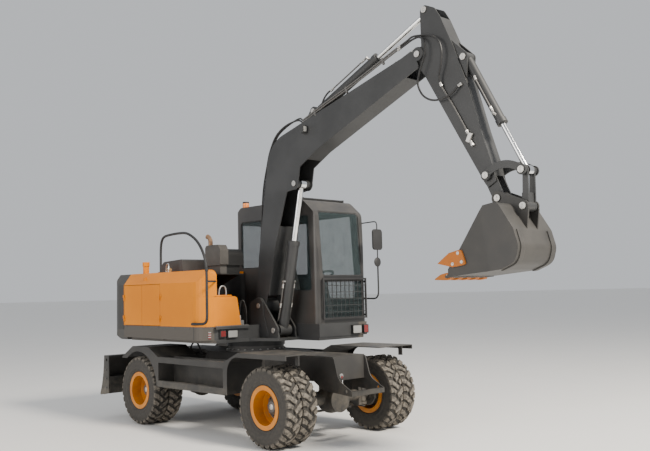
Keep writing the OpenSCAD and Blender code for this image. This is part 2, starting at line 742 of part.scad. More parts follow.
function hood_plan(t) = rounded([
  [-tail_seam + t, t - half_body, 0], [hood_front - t, t - half_body, hood_r - t],
  [hood_front - t, -boom_bay - t, 0], [bay_rear - t, -boom_bay - t, 0], [bay_rear - t, cab_bay - t, 0],
  [-cab_rear - 30 - t, cab_bay - t, 0], [-cab_rear - 30 - t, half_body - t, 0],
  [-tail_seam + t, half_body - t, 0]
]);

module hood_form(t, low) {
  difference() {
    intersection() {
      translate([0, 0, low]) linear_extrude(hood_z - t - low) polygon(hood_plan(t));
      plate(0, lean_box) polygon(rounded([
        [-tail_seam - 5, low, 0], [hood_front - t, low, 0], [hood_front - t, hood_z - t, 120],
        [-tail_seam - 5, hood_z - t, 0]
      ]));
      rotate([90, 0, 90]) translate([0, 0, -lean_box / 2]) linear_extrude(lean_box) polygon([
        [t - half_body, low - 1], [t - half_body, hood_lean_z - t / 3],
        [-half_body + hood_lean + t / 2, hood_z - t + 0.02], [half_body - hood_lean - t / 2, hood_z - t + 0.02],
        [half_body - t, hood_lean_z - t / 3], [half_body - t, low - 1]
      ]);
    }
    translate([bay_rear - t, -cheek_in - t, low - 1]) {
      cube([hood_front - bay_rear + t, cheek_in - boom_bay + t + 1, hood_z]);
    }
  }
}

// Hood doors: [rear edge, front edge] ahead of the slewing centre
door_seam = 5;
door_low = seam_z + 6;
door_top = hood_lean_z - 8;
rear_door = [-tail_seam + 12, -1206];
mid_door = [-1206, -741];
left_door = [-tail_seam + 55, -cab_rear - 120];
hinge_r = 6;
hinge_h = 40;
leaf_t = 4;

module door_hole(x) {
  translate([x[0] - door_seam / 2, -200, door_low - door_seam]) {
    cube([x[1] - x[0] + door_seam, 400, door_top - door_low + 2 * door_seam]);
  }
}

// One hinge at x, on the wall face y, its leaf towards dir; half 1 is the moving one
module hinge_half(x, y, side, dir, half) {
  for (z = [door_low + 90, door_top - 130 - hinge_h]) {
    translate([x, y + side * hinge_out, z - half * hinge_h - half * seat_gap]) {
      cylinder(r = hinge_r, h = hinge_h, $fn = 24);
      translate([dir > 0 ? 0 : -34, side > 0 ? -hinge_out : hinge_out - leaf_t, 0]) {
        cube([34, leaf_t, hinge_h]);
      }
      translate([-leaf_t / 2, side > 0 ? -hinge_out : 0, 0]) cube([leaf_t, hinge_out, hinge_h]);
    }
  }
}

lid_x = [-1415, -865];
lid_y = [-590, 110];
lid_top = hood_z + 185;
lid_slope = 22;
tank_seam = hood_front - hood_r - 20;
cap_at = [-1480, -800];
cap_r = 50;
cap_h = 165;

module hood() {
  color(amber) at_slew() {
    difference() {
      hood_form(0, seam_z + seat_gap);
      hood_form(hood_t, seam_z - 1);
      translate([0, -half_body, 0]) door_hole(rear_door);
      translate([0, -half_body, 0]) door_hole(mid_door);
      translate([0, half_body, 0]) door_hole(left_door);
      translate([lid_x[0] + 60, lid_y[0] + 60, hood_z - 60]) {
        cube([lid_x[1] - lid_x[0] - 120, lid_y[1] - lid_y[0] - 120, 100]);
      }
      translate([tank_seam, -half_body - 1, seam_z]) {
        cube([hood_front - tank_seam + 1, half_body, tank_z - seam_z + seat_gap]);
      }
    }
    translate([cap_at.x, cap_at.y, hood_z - 1]) {
      cylinder(r = cap_r - 8, h = cap_h);
      translate([0, 0, cap_h - 60]) cylinder(r = cap_r, h = 60);
    }
    hinge_half(rear_door[0] - door_seam / 4, -half_body, -1, -1, 0);
    hinge_half(mid_door[1] + door_seam / 4, -half_body, -1, 1, 0);
    hinge_half(left_door[0] - door_seam / 4, half_body, 1, -1, 0);
    translate([(mid_door[0] + door_seam / 2) - 20, hood_t + 6 - half_body, seam_z + seat_gap]) {
      cube([40, 30, hood_z - seam_z - 60]);
    }
  }
}

module hood_door(x, side, hinge_x, dir) {
  color(amber) at_slew() {
    translate([x[0] + door_seam / 2, side > 0 ? half_body - hood_t : -half_body, door_low]) {
      cube([x[1] - x[0] - door_seam, hood_t, door_top - door_low]);
    }
    hinge_half(hinge_x, side * half_body, side, dir, 1);
  }
}

module hood_door_rear() {
  hood_door(rear_door, -1, rear_door[0] - door_seam / 4, 1);
}

module hood_door_mid() {
  hood_door(mid_door, -1, mid_door[1] + door_seam / 4, -1);
}

module hood_door_left() {
  hood_door(left_door, 1, left_door[0] - door_seam / 4, 1);
}

module engine_block() {
  color(grey) at_slew() translate([-1600, -350, floor_z + floor_t + seat_gap]) cube([900, 700, 700]);
}

// Cover over the engine, hinged at its rear edge
lid_pin = [lid_x[0] - 14, hood_z + 16];
module engine_lid() {
  color(dark) at_slew() {
    translate([0, (lid_y[0] + lid_y[1]) / 2, 0]) difference() {
      plate(0, lid_y[1] - lid_y[0]) polygon(rounded([
        [lid_x[0], hood_z + seat_gap, 0], [lid_x[0] + 14, lid_top - lid_slope, 90],
        [lid_x[1] - 14, lid_top, 24], [lid_x[1], hood_z + seat_gap, 0]
      ]));
      plate(0, lid_y[1] - lid_y[0] - 80) polygon([
        [lid_x[0] + 40, hood_z - 1], [lid_x[0] + 80, lid_top - lid_slope - 40],
        [lid_x[1] - 60, lid_top - 40], [lid_x[1] - 42, hood_z - 1]
      ]);
    }
    for (y = [lid_y[0] + 70, lid_y[1] - 130]) translate([0, y, 0]) {
      plate(30, 59) {
        translate(lid_pin) circle(10);
        translate([lid_pin.x, hood_z + 10]) square([24, 16]);
      }
    }
  }
}

// Exhaust stack and air filter box
stack_at = [-1340, 215];
stack_top = 2520;
stack_r = 34;
filter_x = [-160, 173];
filter_y = [-700, -566];
filter_top = 2381;
drum_in = -330;
drum_top = 2330;
tray_z = 1995;
tray_t = 10;

module filter_box() {
  stand_z = tray_z + tray_t - 1;
  box_z = tray_z + 120;
  color(dark) at_slew() {
    plate((filter_y[0] + filter_y[1]) / 2, filter_y[1] - filter_y[0]) polygon(rounded([
      [filter_x[0], box_z, 20], [filter_x[0], filter_top, 50], [filter_x[1] - 50, filter_top, 20],
      [filter_x[1], filter_top - 70, 20], [filter_x[1], box_z, 20]
    ]));
    plate((filter_y[1] + drum_in) / 2 - 1, drum_in - filter_y[1] + 2) polygon(rounded([
      [filter_x[0], box_z, 0], [filter_x[0], drum_top, 90], [filter_x[1], drum_top, 90],
      [filter_x[1], box_z, 0]
    ]));
    translate([filter_x[0] + 40, filter_y[0] + 30, stand_z]) {
      cube([filter_x[1] - filter_x[0] - 80, drum_in - filter_y[0] - 60, box_z - stand_z + 30]);
    }
    translate([bay_rear + seat_gap, filter_y[0], tray_z]) {
      cube([filter_x[1] + 16 - bay_rear - seat_gap, drum_in - filter_y[0], tray_t]);
    }
    for (y = [filter_y[0] + 12, drum_in - 12]) plate(y, tray_t) polygon([
      [bay_rear + seat_gap, tray_z + 1], [bay_rear + seat_gap, tray_z - 190], [filter_x[1] - 60, tray_z + 1]
    ]);
  }
}

module exhaust() {
  bend = [for (a = [0:15:75]) [90 * cos(a) - 90, 0, 90 * sin(a)]];
  color(grey) at_slew() translate([stack_at.x, stack_at.y, hood_z + seat_gap]) {
    cylinder(r = 70, h = 120);
    difference() {
      union() {
        cylinder(r = stack_r, h = stack_top - hood_z);
        translate([0, 0, stack_top - hood_z]) pipe(bend, stack_r, [0, 1, 0]);
      }
      translate([0, 0, 200]) cylinder(r = stack_r - 4, h = stack_top - hood_z - 199.9);
    }
  }
}

module fuel_tank() {
  low = seam_z + seat_gap;
  color(amber) at_slew() intersection() {
    translate([0, 0, low]) linear_extrude(tank_z - low) polygon(rounded([
      [tank_seam + seat_gap, -half_body, 0], [hood_front, -half_body, hood_r], [hood_front, -tank_in, 0],
      [bay_rear + seat_gap, -tank_in, 0], [bay_rear + seat_gap, seat_gap - cheek_in, 0],
      [tank_seam + seat_gap, seat_gap - cheek_in, 0]
    ]));
    rotate([90, 0, 90]) translate([0, 0, -lean_box / 2]) linear_extrude(lean_box) polygon(rounded([
      [-half_body - 1, low - 1, 0], [-half_body - 1, tank_z + 1, 0], [-tank_in - tank_lean, tank_z + 1, 40],
      [-tank_in, low - 1, 0]
    ]));
    plate(0, lean_box) polygon(rounded([
      [bay_rear - 1, low - 1, 0], [bay_rear - 1, tank_z, 0], [hood_front, tank_z, 34],
      [hood_front, low - 1, 0]
    ]));
  }
}

rail_r = 17;
brace_r = 12;
brace_z = 1905;
module handrail() {
  side_y = -half_body - rail_r - seat_gap;
  foot_x = -1027;
  corner_at = [hood_front - hood_r, hood_r - half_body];
  out = [cos(20), -sin(20)];
  path = eased([
    [foot_x, -837, hood_z + seat_gap], [foot_x + 12, -842, 2548], [-300, -925, 2560],
    [150, -1005, 2400], [372, side_y, 2110], [372, side_y, 1400], [tank_seam - 60, side_y, 1375]
  ], 110);
  brace = [
    for (p = [corner_at + out * (hood_r + seat_gap), corner_at + out * (hood_r + 58), [372, side_y]])
      [p.x, p.y, brace_z]
  ];
  color(black) at_slew() {
    pipe(path, rail_r);
    pipe(eased(brace, 40), brace_r, [0.1, 0.05, 1]);
    translate([foot_x, -837, hood_z + seat_gap]) cylinder(r = 40, h = 10);
  }
}

// Cab
cab_low = seam_z + seat_gap;
cab_side = cab_in + cab_w;
cab_mid = cab_in + cab_w / 2;
cab_corner = 90;
sill_z = 2089;
win_top = cab_top - 208;
door_x = [20, 960];
door_z = [1380, cab_top - 110];
mirror_foot = [[cab_front - 104, 1640], [cab_front - 152, 2660]];
mirror_boss = 12;

// Side outline of the cab, moved inwards by t
function cab_profile(t) = rounded([
  [-cab_rear + t, cab_low + t, 0], [-cab_rear + t, cab_top - 89 - t * 0.4, max(70 - t, 10)],
  [-cab_rear + 110 + t * 0.4, cab_top - t, max(90 - t, 10)],
  [cab_front - 290 - t * 0.4, cab_top - t, 150 - t], [cab_front - 62 - t, cab_top - 190, 120 - t],
  [cab_front - t, 1920, 500], [cab_front - t, cab_low + t, 0]
]);

function cab_plan(t) = rounded([
  [-cab_rear + t, cab_in + t, 60 - t], [cab_front - t, cab_in + t, cab_corner - t],
  [cab_front - t, cab_side - t, cab_corner - t], [-cab_rear + t, cab_side - t, 60 - t]
]);

module cab_form(t) {
  intersection() {
    plate(cab_mid, cab_w - 2 * t) polygon(cab_profile(t));
    translate([0, 0, cab_low + t]) linear_extrude(cab_top - cab_low) polygon(cab_plan(t));
  }
}

// Fixed windows as prisms through the walls, each side drawn in by g
module cab_windows(g) {
  plate(cab_in, 2 * cab_corner) polygon(rounded([
    [-535 + g, sill_z + g, 50], [-535 + g, win_top - g, 50], [150 - g, win_top - g, 50],
    [150 - g, sill_z + g, 50]
  ]));
  plate(cab_in, 2 * cab_corner) polygon(rounded([
    [215 + g, sill_z - 330 + g, 50], [215 + g, win_top - g, 50], [cab_front - 175 - g, win_top - g, 50],
    [cab_front - 130 - g, sill_z - 330 + g, 50]
  ]));
  plate(cab_side, 2 * cab_corner) polygon(rounded([
    [-535 + g, sill_z - 100 + g, 50], [-535 + g, win_top - g, 50], [door_x[0] - 75 - g, win_top - g, 50],
    [door_x[0] - 75 - g, sill_z - 100 + g, 50]
  ]));
  for (z = [[1400, 1885], [1945, cab_top - 175]]) translate([cab_front - 250, 0, 0]) {
    rotate([90, 0, 90]) linear_extrude(400) polygon(rounded([
      [cab_in + 78 + g, z[0] + g, 40], [cab_side - 78 - g, z[0] + g, 40],
      [cab_side - 78 - g, z[1] - g, 40], [cab_in + 78 + g, z[1] - g, 40]
    ]));
  }
  translate([-cab_rear - 100, 0, 0]) rotate([90, 0, 90]) linear_extrude(200) polygon(rounded([
    [cab_in + 85 + g, sill_z - 40 + g, 50], [cab_side - 85 - g, sill_z - 40 + g, 50],
    [cab_side - 85 - g, win_top - 20 - g, 50], [cab_in + 85 + g, win_top - 20 - g, 50]
  ]));
}

function door_outline(g) = rounded([
  [door_x[0] + g, door_z[0] + g, 30], [door_x[0] + g, door_z[1] - g, 50],
  [door_x[1] - 60 - g, door_z[1] - g, 50], [door_x[1] - g, 1960, 0], [door_x[1] - g, door_z[0] + g, 30]
]);

function door_window(g) = rounded([
  [door_x[0] + 70 + g, 1640 + g, 40], [door_x[0] + 70 + g, door_z[1] - 70 - g, 40],
  [door_x[1] - 128 - g, door_z[1] - 70 - g, 40], [door_x[1] - 70 - g, 1960, 0],
  [door_x[1] - 70 - g, 1640 + g, 40]
]);

module cab_shell() {
  color(dark) at_slew() {
    difference() {
      cab_form(0);
      cab_form(cab_t);
      cab_windows(0);
      plate(cab_side, 2 * cab_t + 4) polygon(door_outline(0));
    }
    for (p = mirror_foot) translate([p.x, cab_side - 4, p.y]) rotate([-90, 0, 0]) {
      cylinder(r = 8, h = mirror_boss + 4, $fn = 24);
    }
    for (z = [door_z[0] + 150, door_z[1] - 330]) {
      translate([door_x[0] - 2, cab_side + hinge_out, z - hinge_h]) {
        cylinder(r = hinge_r, h = hinge_h, $fn = 24);
        translate([-34, -hinge_out - 1, 0]) cube([34, leaf_t + 1, hinge_h]);
        translate([-leaf_t / 2, -hinge_out, 0]) cube([leaf_t, hinge_out, hinge_h]);
      }
    }
  }
}

module cab_door() {
  color(dark) at_slew() {
    difference() {
      plate(cab_side - cab_t / 2, cab_t) polygon(door_outline(door_seam));
      plate(cab_side, 3 * cab_t) polygon(door_window(0));
    }
    for (z = [door_z[0] + 150, door_z[1] - 330]) {
      translate([door_x[0] - 2, cab_side + hinge_out, z + seat_gap]) {
        cylinder(r = hinge_r, h = hinge_h, $fn = 24);
        translate([2 + door_seam, -hinge_out - 1, 0]) cube([32 - door_seam, leaf_t + 1, hinge_h]);
        translate([0, seat_gap - hinge_out, 0]) cube([34, leaf_t - seat_gap, hinge_h]);
        translate([-leaf_t / 2, seat_gap - hinge_out, 0]) cube([leaf_t, hinge_out, hinge_h]);
      }
    }
  }
}

module door_glass() {
  color("#9fb4b8") at_slew() plate(cab_side - 14, glass_t) polygon(door_window(seat_gap));
}

module cab_glass() {
  color("#9fb4b8") at_slew() intersection() {
    difference() {
      cab_form(11);
      cab_form(11 + glass_t);
    }
    cab_windows(seat_gap);
  }
}

module cab_inside() {
  low = cab_low + cab_t + seat_gap;
  color(black) at_slew() translate([0, cab_mid, 0]) {
    translate([-150, -230, low]) cube([420, 460, 170]);
    plate(0, 460) polygon(rounded([
      [-120, low + 170, 0], [-120, low + 330, 30], [330, low + 330, 60], [330, low + 235, 30], [270, low + 170, 0]
    ]));
    plate(0, 440) polygon(rounded([
      [-100, low + 200, 0], [-330, low + 1000, 50], [-200, low + 1010, 50], [10, low + 300, 0]
    ]));
    for (side = [-1, 1]) {
      translate([-170, side * 290 - 55, low]) cube([520, 110, 440]);
      translate([290, side * 290, low + 430]) cylinder(r = 11, h = 130);
      translate([290, side * 290, low + 570]) sphere(r = 30, $fn = 24);
    }
    plate(0, 90) polygon([[760, low], [860, low], [700, low + 560], [650, low + 545]]);
    translate([665, 0, low + 560]) rotate([0, -22, 0]) difference() {
      cylinder(r = 175, h = 24);
      translate([0, 0, -1]) cylinder(r = 152, h = 26);
    }
    translate([665, 0, low + 560]) rotate([0, -22, 0]) {
      cylinder(r = 40, h = 20);
      for (a = [90, 210, 330]) rotate([0, 0, a]) translate([30, -12, 4]) cube([130, 24, 12]);
    }
  }
}

guard_z = [1387, 1917];

module cab_guards() {
  x = cab_front + seat_gap;
  left = cab_side - 45;
  right = cab_in + 45;
  color(black) at_slew() {
    for (z = [guard_z[0], guard_z[1] - 20]) translate([x + 20, right, z]) cube([20, left - right, 20]);
    for (y = [right, left - 20]) translate([x + 20, y, guard_z[0]]) cube([20, 20, guard_z[1] - guard_z[0]]);
    for (y = [right, left - 20], z = [guard_z[0] + 30, guard_z[1] - 60]) {
      translate([x, y, z]) cube([21, 20, 24]);
    }
    for (i = [1:9]) translate([x + 24, right + 10 + i * (left - right - 20) / 10 - 4, guard_z[0] + 5]) {
      cube([8, 8, guard_z[1] - guard_z[0] - 10]);
    }
    for (i = [1:5]) translate([x + 31, right + 5, guard_z[0] + 10 + i * (guard_z[1] - guard_z[0] - 20) / 6 - 4]) {
      cube([8, left - right - 10, 8]);
    }
    top = cab_top + seat_gap;
    for (y = [cab_in + 60, cab_side - 84]) translate([150, y, top]) cube([590, 24, 34]);
    for (i = [0:6]) translate([160 + i * 92, cab_in + 70, top + 12]) cube([26, cab_w - 140, 18]);
  }
}

mirror_x = cab_front + 220;
module mirrors() {
  y = cab_side;
  color(black) at_slew() {
    translate([mirror_x - 12, y - 102, 2281]) cube([34, 182, 275]);
    translate([mirror_x + 5, y - 12, 2120]) rotate([0, 90, 0]) cylinder(r = 62, h = 22, center = true);
    pipe(eased([
      [mirror_foot[0].x, y + mirror_boss + seat_gap, mirror_foot[0].y],
      [mirror_foot[0].x, y + mirror_boss + 28, mirror_foot[0].y],
      [mirror_x - 40, y, mirror_foot[0].y], [mirror_x + 6, y - 12, mirror_foot[0].y + 90],
      [mirror_x + 6, y - 12, 2590], [mirror_x - 40, y, mirror_foot[1].y],
      [mirror_foot[1].x, y + mirror_boss + 28, mirror_foot[1].y],
      [mirror_foot[1].x, y + mirror_boss + seat_gap, mirror_foot[1].y]
    ], 12), 8, [0.1, 0.05, 1]);
  }
}

module lamps() {
  front = cab_front + seat_gap;
  color("#d8d8d0") at_slew() {
    translate([front, 733, 1188]) cube([34, 164, 112]);
    translate([hood_front + seat_gap, -711, 1190]) cube([34, 158, 100]);
    translate([-cab_rear + 130, cab_in + 80, cab_top + seat_gap]) cylinder(r = 45, h = 90);
  }
  color("#c8401e") at_slew() {
    translate([front, 940, 1188]) cube([30, 90, 112]);
    translate([hood_front + seat_gap, -822, 1204]) cube([30, 89, 86]);
  }
}

// Boom in its own frame: U along the line from foot pin to tip pin, V to its back
tip = foot + turn([boom_len, 0], boom_angle);
boom_eye_r = foot_depth / 2 + 3;
ram_eye_u = 1585;
ram_eye_v = 608;
ram_eye = foot + turn([ram_eye_u, ram_eye_v], boom_angle);
knee_u = 1643;
knee_v = 1358;
boom_box_w = boom_w - 2 * arm_plate;
tip_r = tip_depth / 2 - 26;
tip_back = [boom_len - 60, tip_r + 28];
arm_foot_back = 1464;
arm_foot_u = boom_len - arm_foot_back;
arm_foot_v = back_v(arm_foot_u) + 85;
arm_foot = foot + turn([arm_foot_u, arm_foot_v], boom_angle);
arm_foot_w = 116;
foot_plate = 20;
lamp_u = 2208;
belly_open = 1000;

// Height of the boom's upper edge in front of the knee
function back_v(u) = knee_v + (u - knee_u) * (tip_back.y - knee_v) / (tip_back.x - knee_u);

function boom_back() = [
  [379, 435, 0], [knee_u, knee_v, 430], [tip_back.x, tip_back.y, 0], [boom_len - 0.01, tip_r - 8, 0]
];
function boom_belly() = [
  [210, -20, 0], [759, 322, 500], [knee_u - 48, knee_v + 311 - 2 * knee_depth, 240],
  [2135, 574, 500], [boom_len - 94, 26 - 1.4 * tip_r - 38, 30]
];

module boom_frame() {
  translate([foot.x, 0, foot.y]) rotate([0, -boom_angle, 0]) children();
}

module boom() {
  belly = boom_belly();
  side = rounded(concat(boom_back(), backwards(belly)));
  back_line = bent(boom_back());
  color(dark) at_slew() boom_frame() {
    difference() {
      union() {
        for (s = [-1, 1]) plate(s * (boom_w - arm_plate) / 2, arm_plate) {
          polygon(side);
          circle(boom_eye_r);
          polygon(lug([0, 0], boom_eye_r - 5, [400, 440], [500, 162]));
          translate([boom_len, 0]) circle(tip_r);
          translate([ram_eye_u, ram_eye_v]) circle(82);
          polygon(lug([ram_eye_u, ram_eye_v], 79, [knee_u - 330, 720], [knee_u + 250, 730]));
        }
        intersection() {
          plate(0, boom_box_w + 2) polygon(strip(back_line, -14));
          translate([90, -lean_box, -lean_box]) cube([boom_len - 330, 2 * lean_box, 2 * lean_box]);
        }
        intersection() {
          plate(0, boom_box_w + 2) polygon(strip(bent(belly), 14));
          union() {
            translate([200, -lean_box, -lean_box]) cube([belly_open - 200, 2 * lean_box, 2 * lean_box]);
            translate([1960, -lean_box, -lean_box]) cube([boom_len - 2240, 2 * lean_box, 2 * lean_box]);
          }
        }
        cross_pin([0, 0], boom_eye_r - 8, boom_w);
      }
      cross_pin([0, 0], pin_r + run_gap, boom_w + 40);
      for (s = [-1, 1]) cross_pin([boom_len, 0], pin_r + run_gap, 4 * arm_plate, s * boom_w / 2);
    }
    for (s = [-1, 1]) {
      cross_pin([ram_eye_u, ram_eye_v], pin_r, boom_w / 2 - 44, s * (boom_w / 4 + 22 + pin_end / 2));
      cross_pin([ram_eye_u, ram_eye_v], 52, boom_w / 2 - arm_plate - 51, s * (boom_w / 4 - arm_plate / 2 + 26));
      plate(s * (arm_foot_w / 2 + 4 + foot_plate / 2), foot_plate) eye_plate(
        [arm_foot_u, arm_foot_v], 60,
        [arm_foot_u - 230, back_v(arm_foot_u - 230) - 21], [arm_foot_u + 190, back_v(arm_foot_u + 190) - 21]
      );
    }
    cross_pin([arm_foot_u, arm_foot_v], pin_r, arm_foot_w + 8 + 2 * foot_plate + 2 * pin_end);
    translate([lamp_u, -boom_w / 2 - 40, back_v(lamp_u) - 108]) rotate([0, boom_angle, 0]) {
      translate([-10, -35, -60]) cube([60, 70, 90]);
      translate([-10, 20, -70]) cube([40, 30, 30]);
    }
  }
}

module ram_barrel() {
  color(dark) at_slew() barrel(ram_foot, ram_eye, 1173, ram_r, ram_rod_r, 72, 190, pin_r + run_gap);
}

module ram_rod() {
  color(chrome) at_slew() rod(ram_foot, ram_eye, ram_rod_r, 62, 84, 1150);
}

// Stick in its own frame: S from its pivot to the bucket pin, T away from the machine
stick_eye_r = 85;
arm_eye_s = -374;
arm_eye_t = 313;
dip_foot_s = 416;
dip_foot_t = 425;
dip_foot_w = 100;
idler_back = 267;
idler_t = 15;
neck = 158;
toe_r = 66;
arm_eye = tip + turn([arm_eye_s, arm_eye_t], -stick_angle);
dip_foot = tip + turn([dip_foot_s, dip_foot_t], -stick_angle);
bucket_pin = tip + turn([stick_len, 0], -stick_angle);
idler_pin = tip + turn([stick_len - idler_back, idler_t], -stick_angle);
stick_half = stick_w / 2;
neck_half = stick_half - 16;

function stick_back() = [
  [-400, 262, 30], [-438, 330, 60], [-290, 430, 60], [-150, 436, 100], [235, 397, 500], [691, 324, 500],
  [stick_len - 700, 198, 900], [stick_len - 380, 134, 400], [stick_len - neck - 60, 90, 60]
];
function stick_front() = [
  [-60, 72, 0], [-10, -stick_eye_r, 0], [266, -62, 400], [1171, -55, 900],
  [stick_len - neck - 60, -48, 30]
];

module stick_frame() {
  translate([tip.x, 0, tip.y]) rotate([0, stick_angle, 0]) children();
}

module stick() {
  back = stick_back();
  front = stick_front();
  color(dark) at_slew() stick_frame() {
    difference() {
      union() {
        for (s = [-1, 1]) {
          plate(s * (stick_half - arm_plate / 2), arm_plate) {
            polygon(rounded(concat(back, [
              [stick_len - neck, 70, 0], [stick_len - neck, -40, 0]
            ], backwards(front))));
            circle(stick_eye_r);
          }
          plate(s * (neck_half - 9), 18) eye_plate(
            [stick_len, 0], toe_r, [stick_len - 330, 100], [stick_len - 330, -40]
          );
          plate(s * (stick_half - arm_plate - 1), 10) polygon([
            [stick_len - 330, 96], [stick_len - neck - 20, 70], [stick_len - neck - 20, -38],
            [stick_len - 330, -40]
          ]);
          plate(s * (dip_foot_w / 2 + 4 + foot_plate / 2), foot_plate) eye_plate(
            [dip_foot_s, dip_foot_t], 56, [dip_foot_s - 270, 400], [dip_foot_s + 210, 345]
          );
        }
        plate(0, stick_w - 2) intersection() {
          polygon(strip(bent(back), -12));
          translate([-150, -500]) square([stick_len, 1500]);
        }
        plate(0, stick_w - 2) intersection() {
          polygon(strip(bent(front), 12));
          translate([40, -500]) square([stick_len, 1000]);
        }
        cross_pin([0, 0], stick_eye_r - 4, 2 * (boom_w / 2 - arm_plate - 6));
        cross_pin([stick_len, 0], toe_r - 2, 2 * neck_half);
      }
      cross_pin([stick_len, 0], pin_r + run_gap, 3 * stick_w);
    }
    cross_pin([0, 0], pin_r, boom_w + 2 * pin_end);
    cross_pin([stick_len - idler_back, idler_t], pin_r, 2 * (idler_y + idler_w / 2) + 2 * pin_end);
    cross_pin([dip_foot_s, dip_foot_t], pin_r, dip_foot_w + 8 + 2 * foot_plate + 2 * pin_end);
    for (s = [-1, 1]) {
      cross_pin([arm_eye_s, arm_eye_t], pin_r, stick_half + pin_end - 42, s * (stick_half + pin_end + 42) / 2);
      cross_pin([arm_eye_s, arm_eye_t], 50, stick_half - arm_plate - 42, s * (stick_half - arm_plate + 42) / 2);
    }
  }
}

module arm_barrel() {
  color(dark) at_slew() barrel(arm_foot, arm_eye, 1149, arm_r, arm_rod_r, 60, arm_foot_w, pin_r + run_gap);
}

module arm_rod() {
  color(chrome) at_slew() rod(arm_foot, arm_eye, arm_rod_r, 54, 74, 1350);
}

// Bucket linkage: the idler hangs on the stick, the link on the bucket
idler_y = 111;
idler_w = 16;
link_y = 60;
link_eye_r = 42;
link_w = 20;
link_eye = bucket_pin + [287, -102];
idler_eye = bucket_pin + [296, 249];
ear_y = neck_half + 16;
ear_t = 20;

module dip_barrel() {
  color(dark) at_slew() barrel(dip_foot, idler_eye, 875, dip_r, dip_rod_r, 54, dip_foot_w, pin_r + run_gap);
}

module dip_rod() {
  color(chrome) at_slew() rod(dip_foot, idler_eye, dip_rod_r, 50, 70, 960);
}

module idler() {
  color(dark) at_slew() {
    for (s = [-1, 1]) {
      difference() {
        union() {
          plate(s * idler_y, idler_w) {
            polygon(bow(idler_pin, idler_eye, 80, 76));
            translate(idler_pin) circle(56);
            translate(idler_eye) circle(52);
          }
          cross_pin(idler_pin, 50, 26, s * (idler_y - 0.5));
        }
        cross_pin(idler_pin, pin_r + run_gap, 60, s * idler_y);
      }
      cross_pin(idler_eye, link_eye_r - 4, idler_y - 88, s * (idler_y + 88) / 2);
      cross_pin(idler_eye, pin_r, 10, s * (idler_y + idler_w / 2 + 4));
    }
  }
}

module bucket_link() {
  color(dark) at_slew() difference() {
    union() {
      for (s = [-1, 1]) {
        plate(s * link_y, link_w) {
          translate(idler_eye) circle(link_eye_r);
          translate(link_eye) circle(52);
          polygon([
            idler_eye + [-18, -16], idler_eye + [link_eye_r - 3, -10], link_eye + [44, 10],
            link_eye + [-44, 14], link_eye + [-18, 120]
          ]);
        }
        cross_pin(idler_eye, link_eye_r - 4, 36, s * 66);
      }
      cross_pin(link_eye, 50, 2 * neck_half);
      plate(0, 2 * link_y) polygon([
        link_eye + [-34, 0], link_eye + [34, 0], link_eye + [32, 130], link_eye + [-32, 130]
      ]);
    }
    cross_pin(link_eye, pin_r + run_gap, 3 * stick_w);
  }
}

// Bucket around its pin, mouth towards the machine
function bucket_back() = [
  [-16, -84, 0], [147, -62, 70], [322, -330, 120], [372, -500, 150], [330, -650, 130], [163, -714, 120],
  [-463, -767, 0]
];

module bucket() {
  edge = bucket_w / 2;
  shell = bent(bucket_back());
  color(dark) at_slew() translate([bucket_pin.x, 0, bucket_pin.y]) {
    plate(0, bucket_w - 2) polygon(strip(shell, -bucket_shell_t));
    for (s = [-1, 1]) {
      plate(s * (edge - bucket_side_t / 2), bucket_side_t) polygon(concat(
        shell, [[-464, -690], [-304, -484], [-60, -140]]
      ));
      plate(s * ear_y, ear_t) {
        circle(70);
        translate([287, -102]) circle(58);
        difference() {
          polygon([[-66, -24], [-14, -140], [150, -140], [320, -340], [345, -130], [300, -46], [24, 66]]);
          polygon(concat(shifted(shell, -bucket_shell_t / 2), [[-300, -400], [-100, -90]]));
        }
      }
      plate(s * (edge - 70), 60) polygon(strip([for (p = shell) if (p.y < -340 && p.x > -300) p], 12));
    }
    cross_pin([0, 0], pin_r, 2 * ear_y + ear_t + 2 * pin_end);
    cross_pin([287, -102], pin_r, 2 * ear_y + ear_t + 2 * pin_end);
    translate([-463, 0, -767]) rotate([0, -4.8, 0]) {
      translate([-40, -edge + 1, -6]) cube([120, bucket_w - 2, 26]);
    }
  }
}

module bucket_teeth() {
  edge = bucket_w / 2;
  pitch = (bucket_w - 2 * bucket_side_t - tooth_w - 2) / (teeth - 1);
  color(orange) at_slew() translate([bucket_pin.x, 0, bucket_pin.y]) {
    translate([-463, 0, -767]) rotate([0, -4.8, 0]) for (i = [0:teeth - 1]) {
      translate([0, (i - (teeth - 1) / 2) * pitch, 0]) intersection() {
        plate(0, tooth_w) polygon([
          [-197, 2], [-110, 38], [-40, 46], [50, 40], [50, 20.3], [-40.3, 20.3], [-40.3, -6.3],
          [10, -6.3], [0, -22], [-60, -26], [-197, -8]
        ]);
        translate([0, 0, -100]) linear_extrude(200) polygon([
          [-200, -tooth_w / 3], [-200, tooth_w / 3], [-70, tooth_w / 2], [60, tooth_w / 2],
          [60, -tooth_w / 2], [-70, -tooth_w / 2]
        ]);
      }
    }
    for (s = [-1, 1]) plate(s * (edge + seat_gap + 10), 20) polygon(rounded([
      [-581, -629, 4], [-429, -527, 30], [-314, -504, 10], [-279, -502, 20], [-229, -636, 20],
      [-255, -654, 10], [-394, -670, 10]
    ]));
  }
}

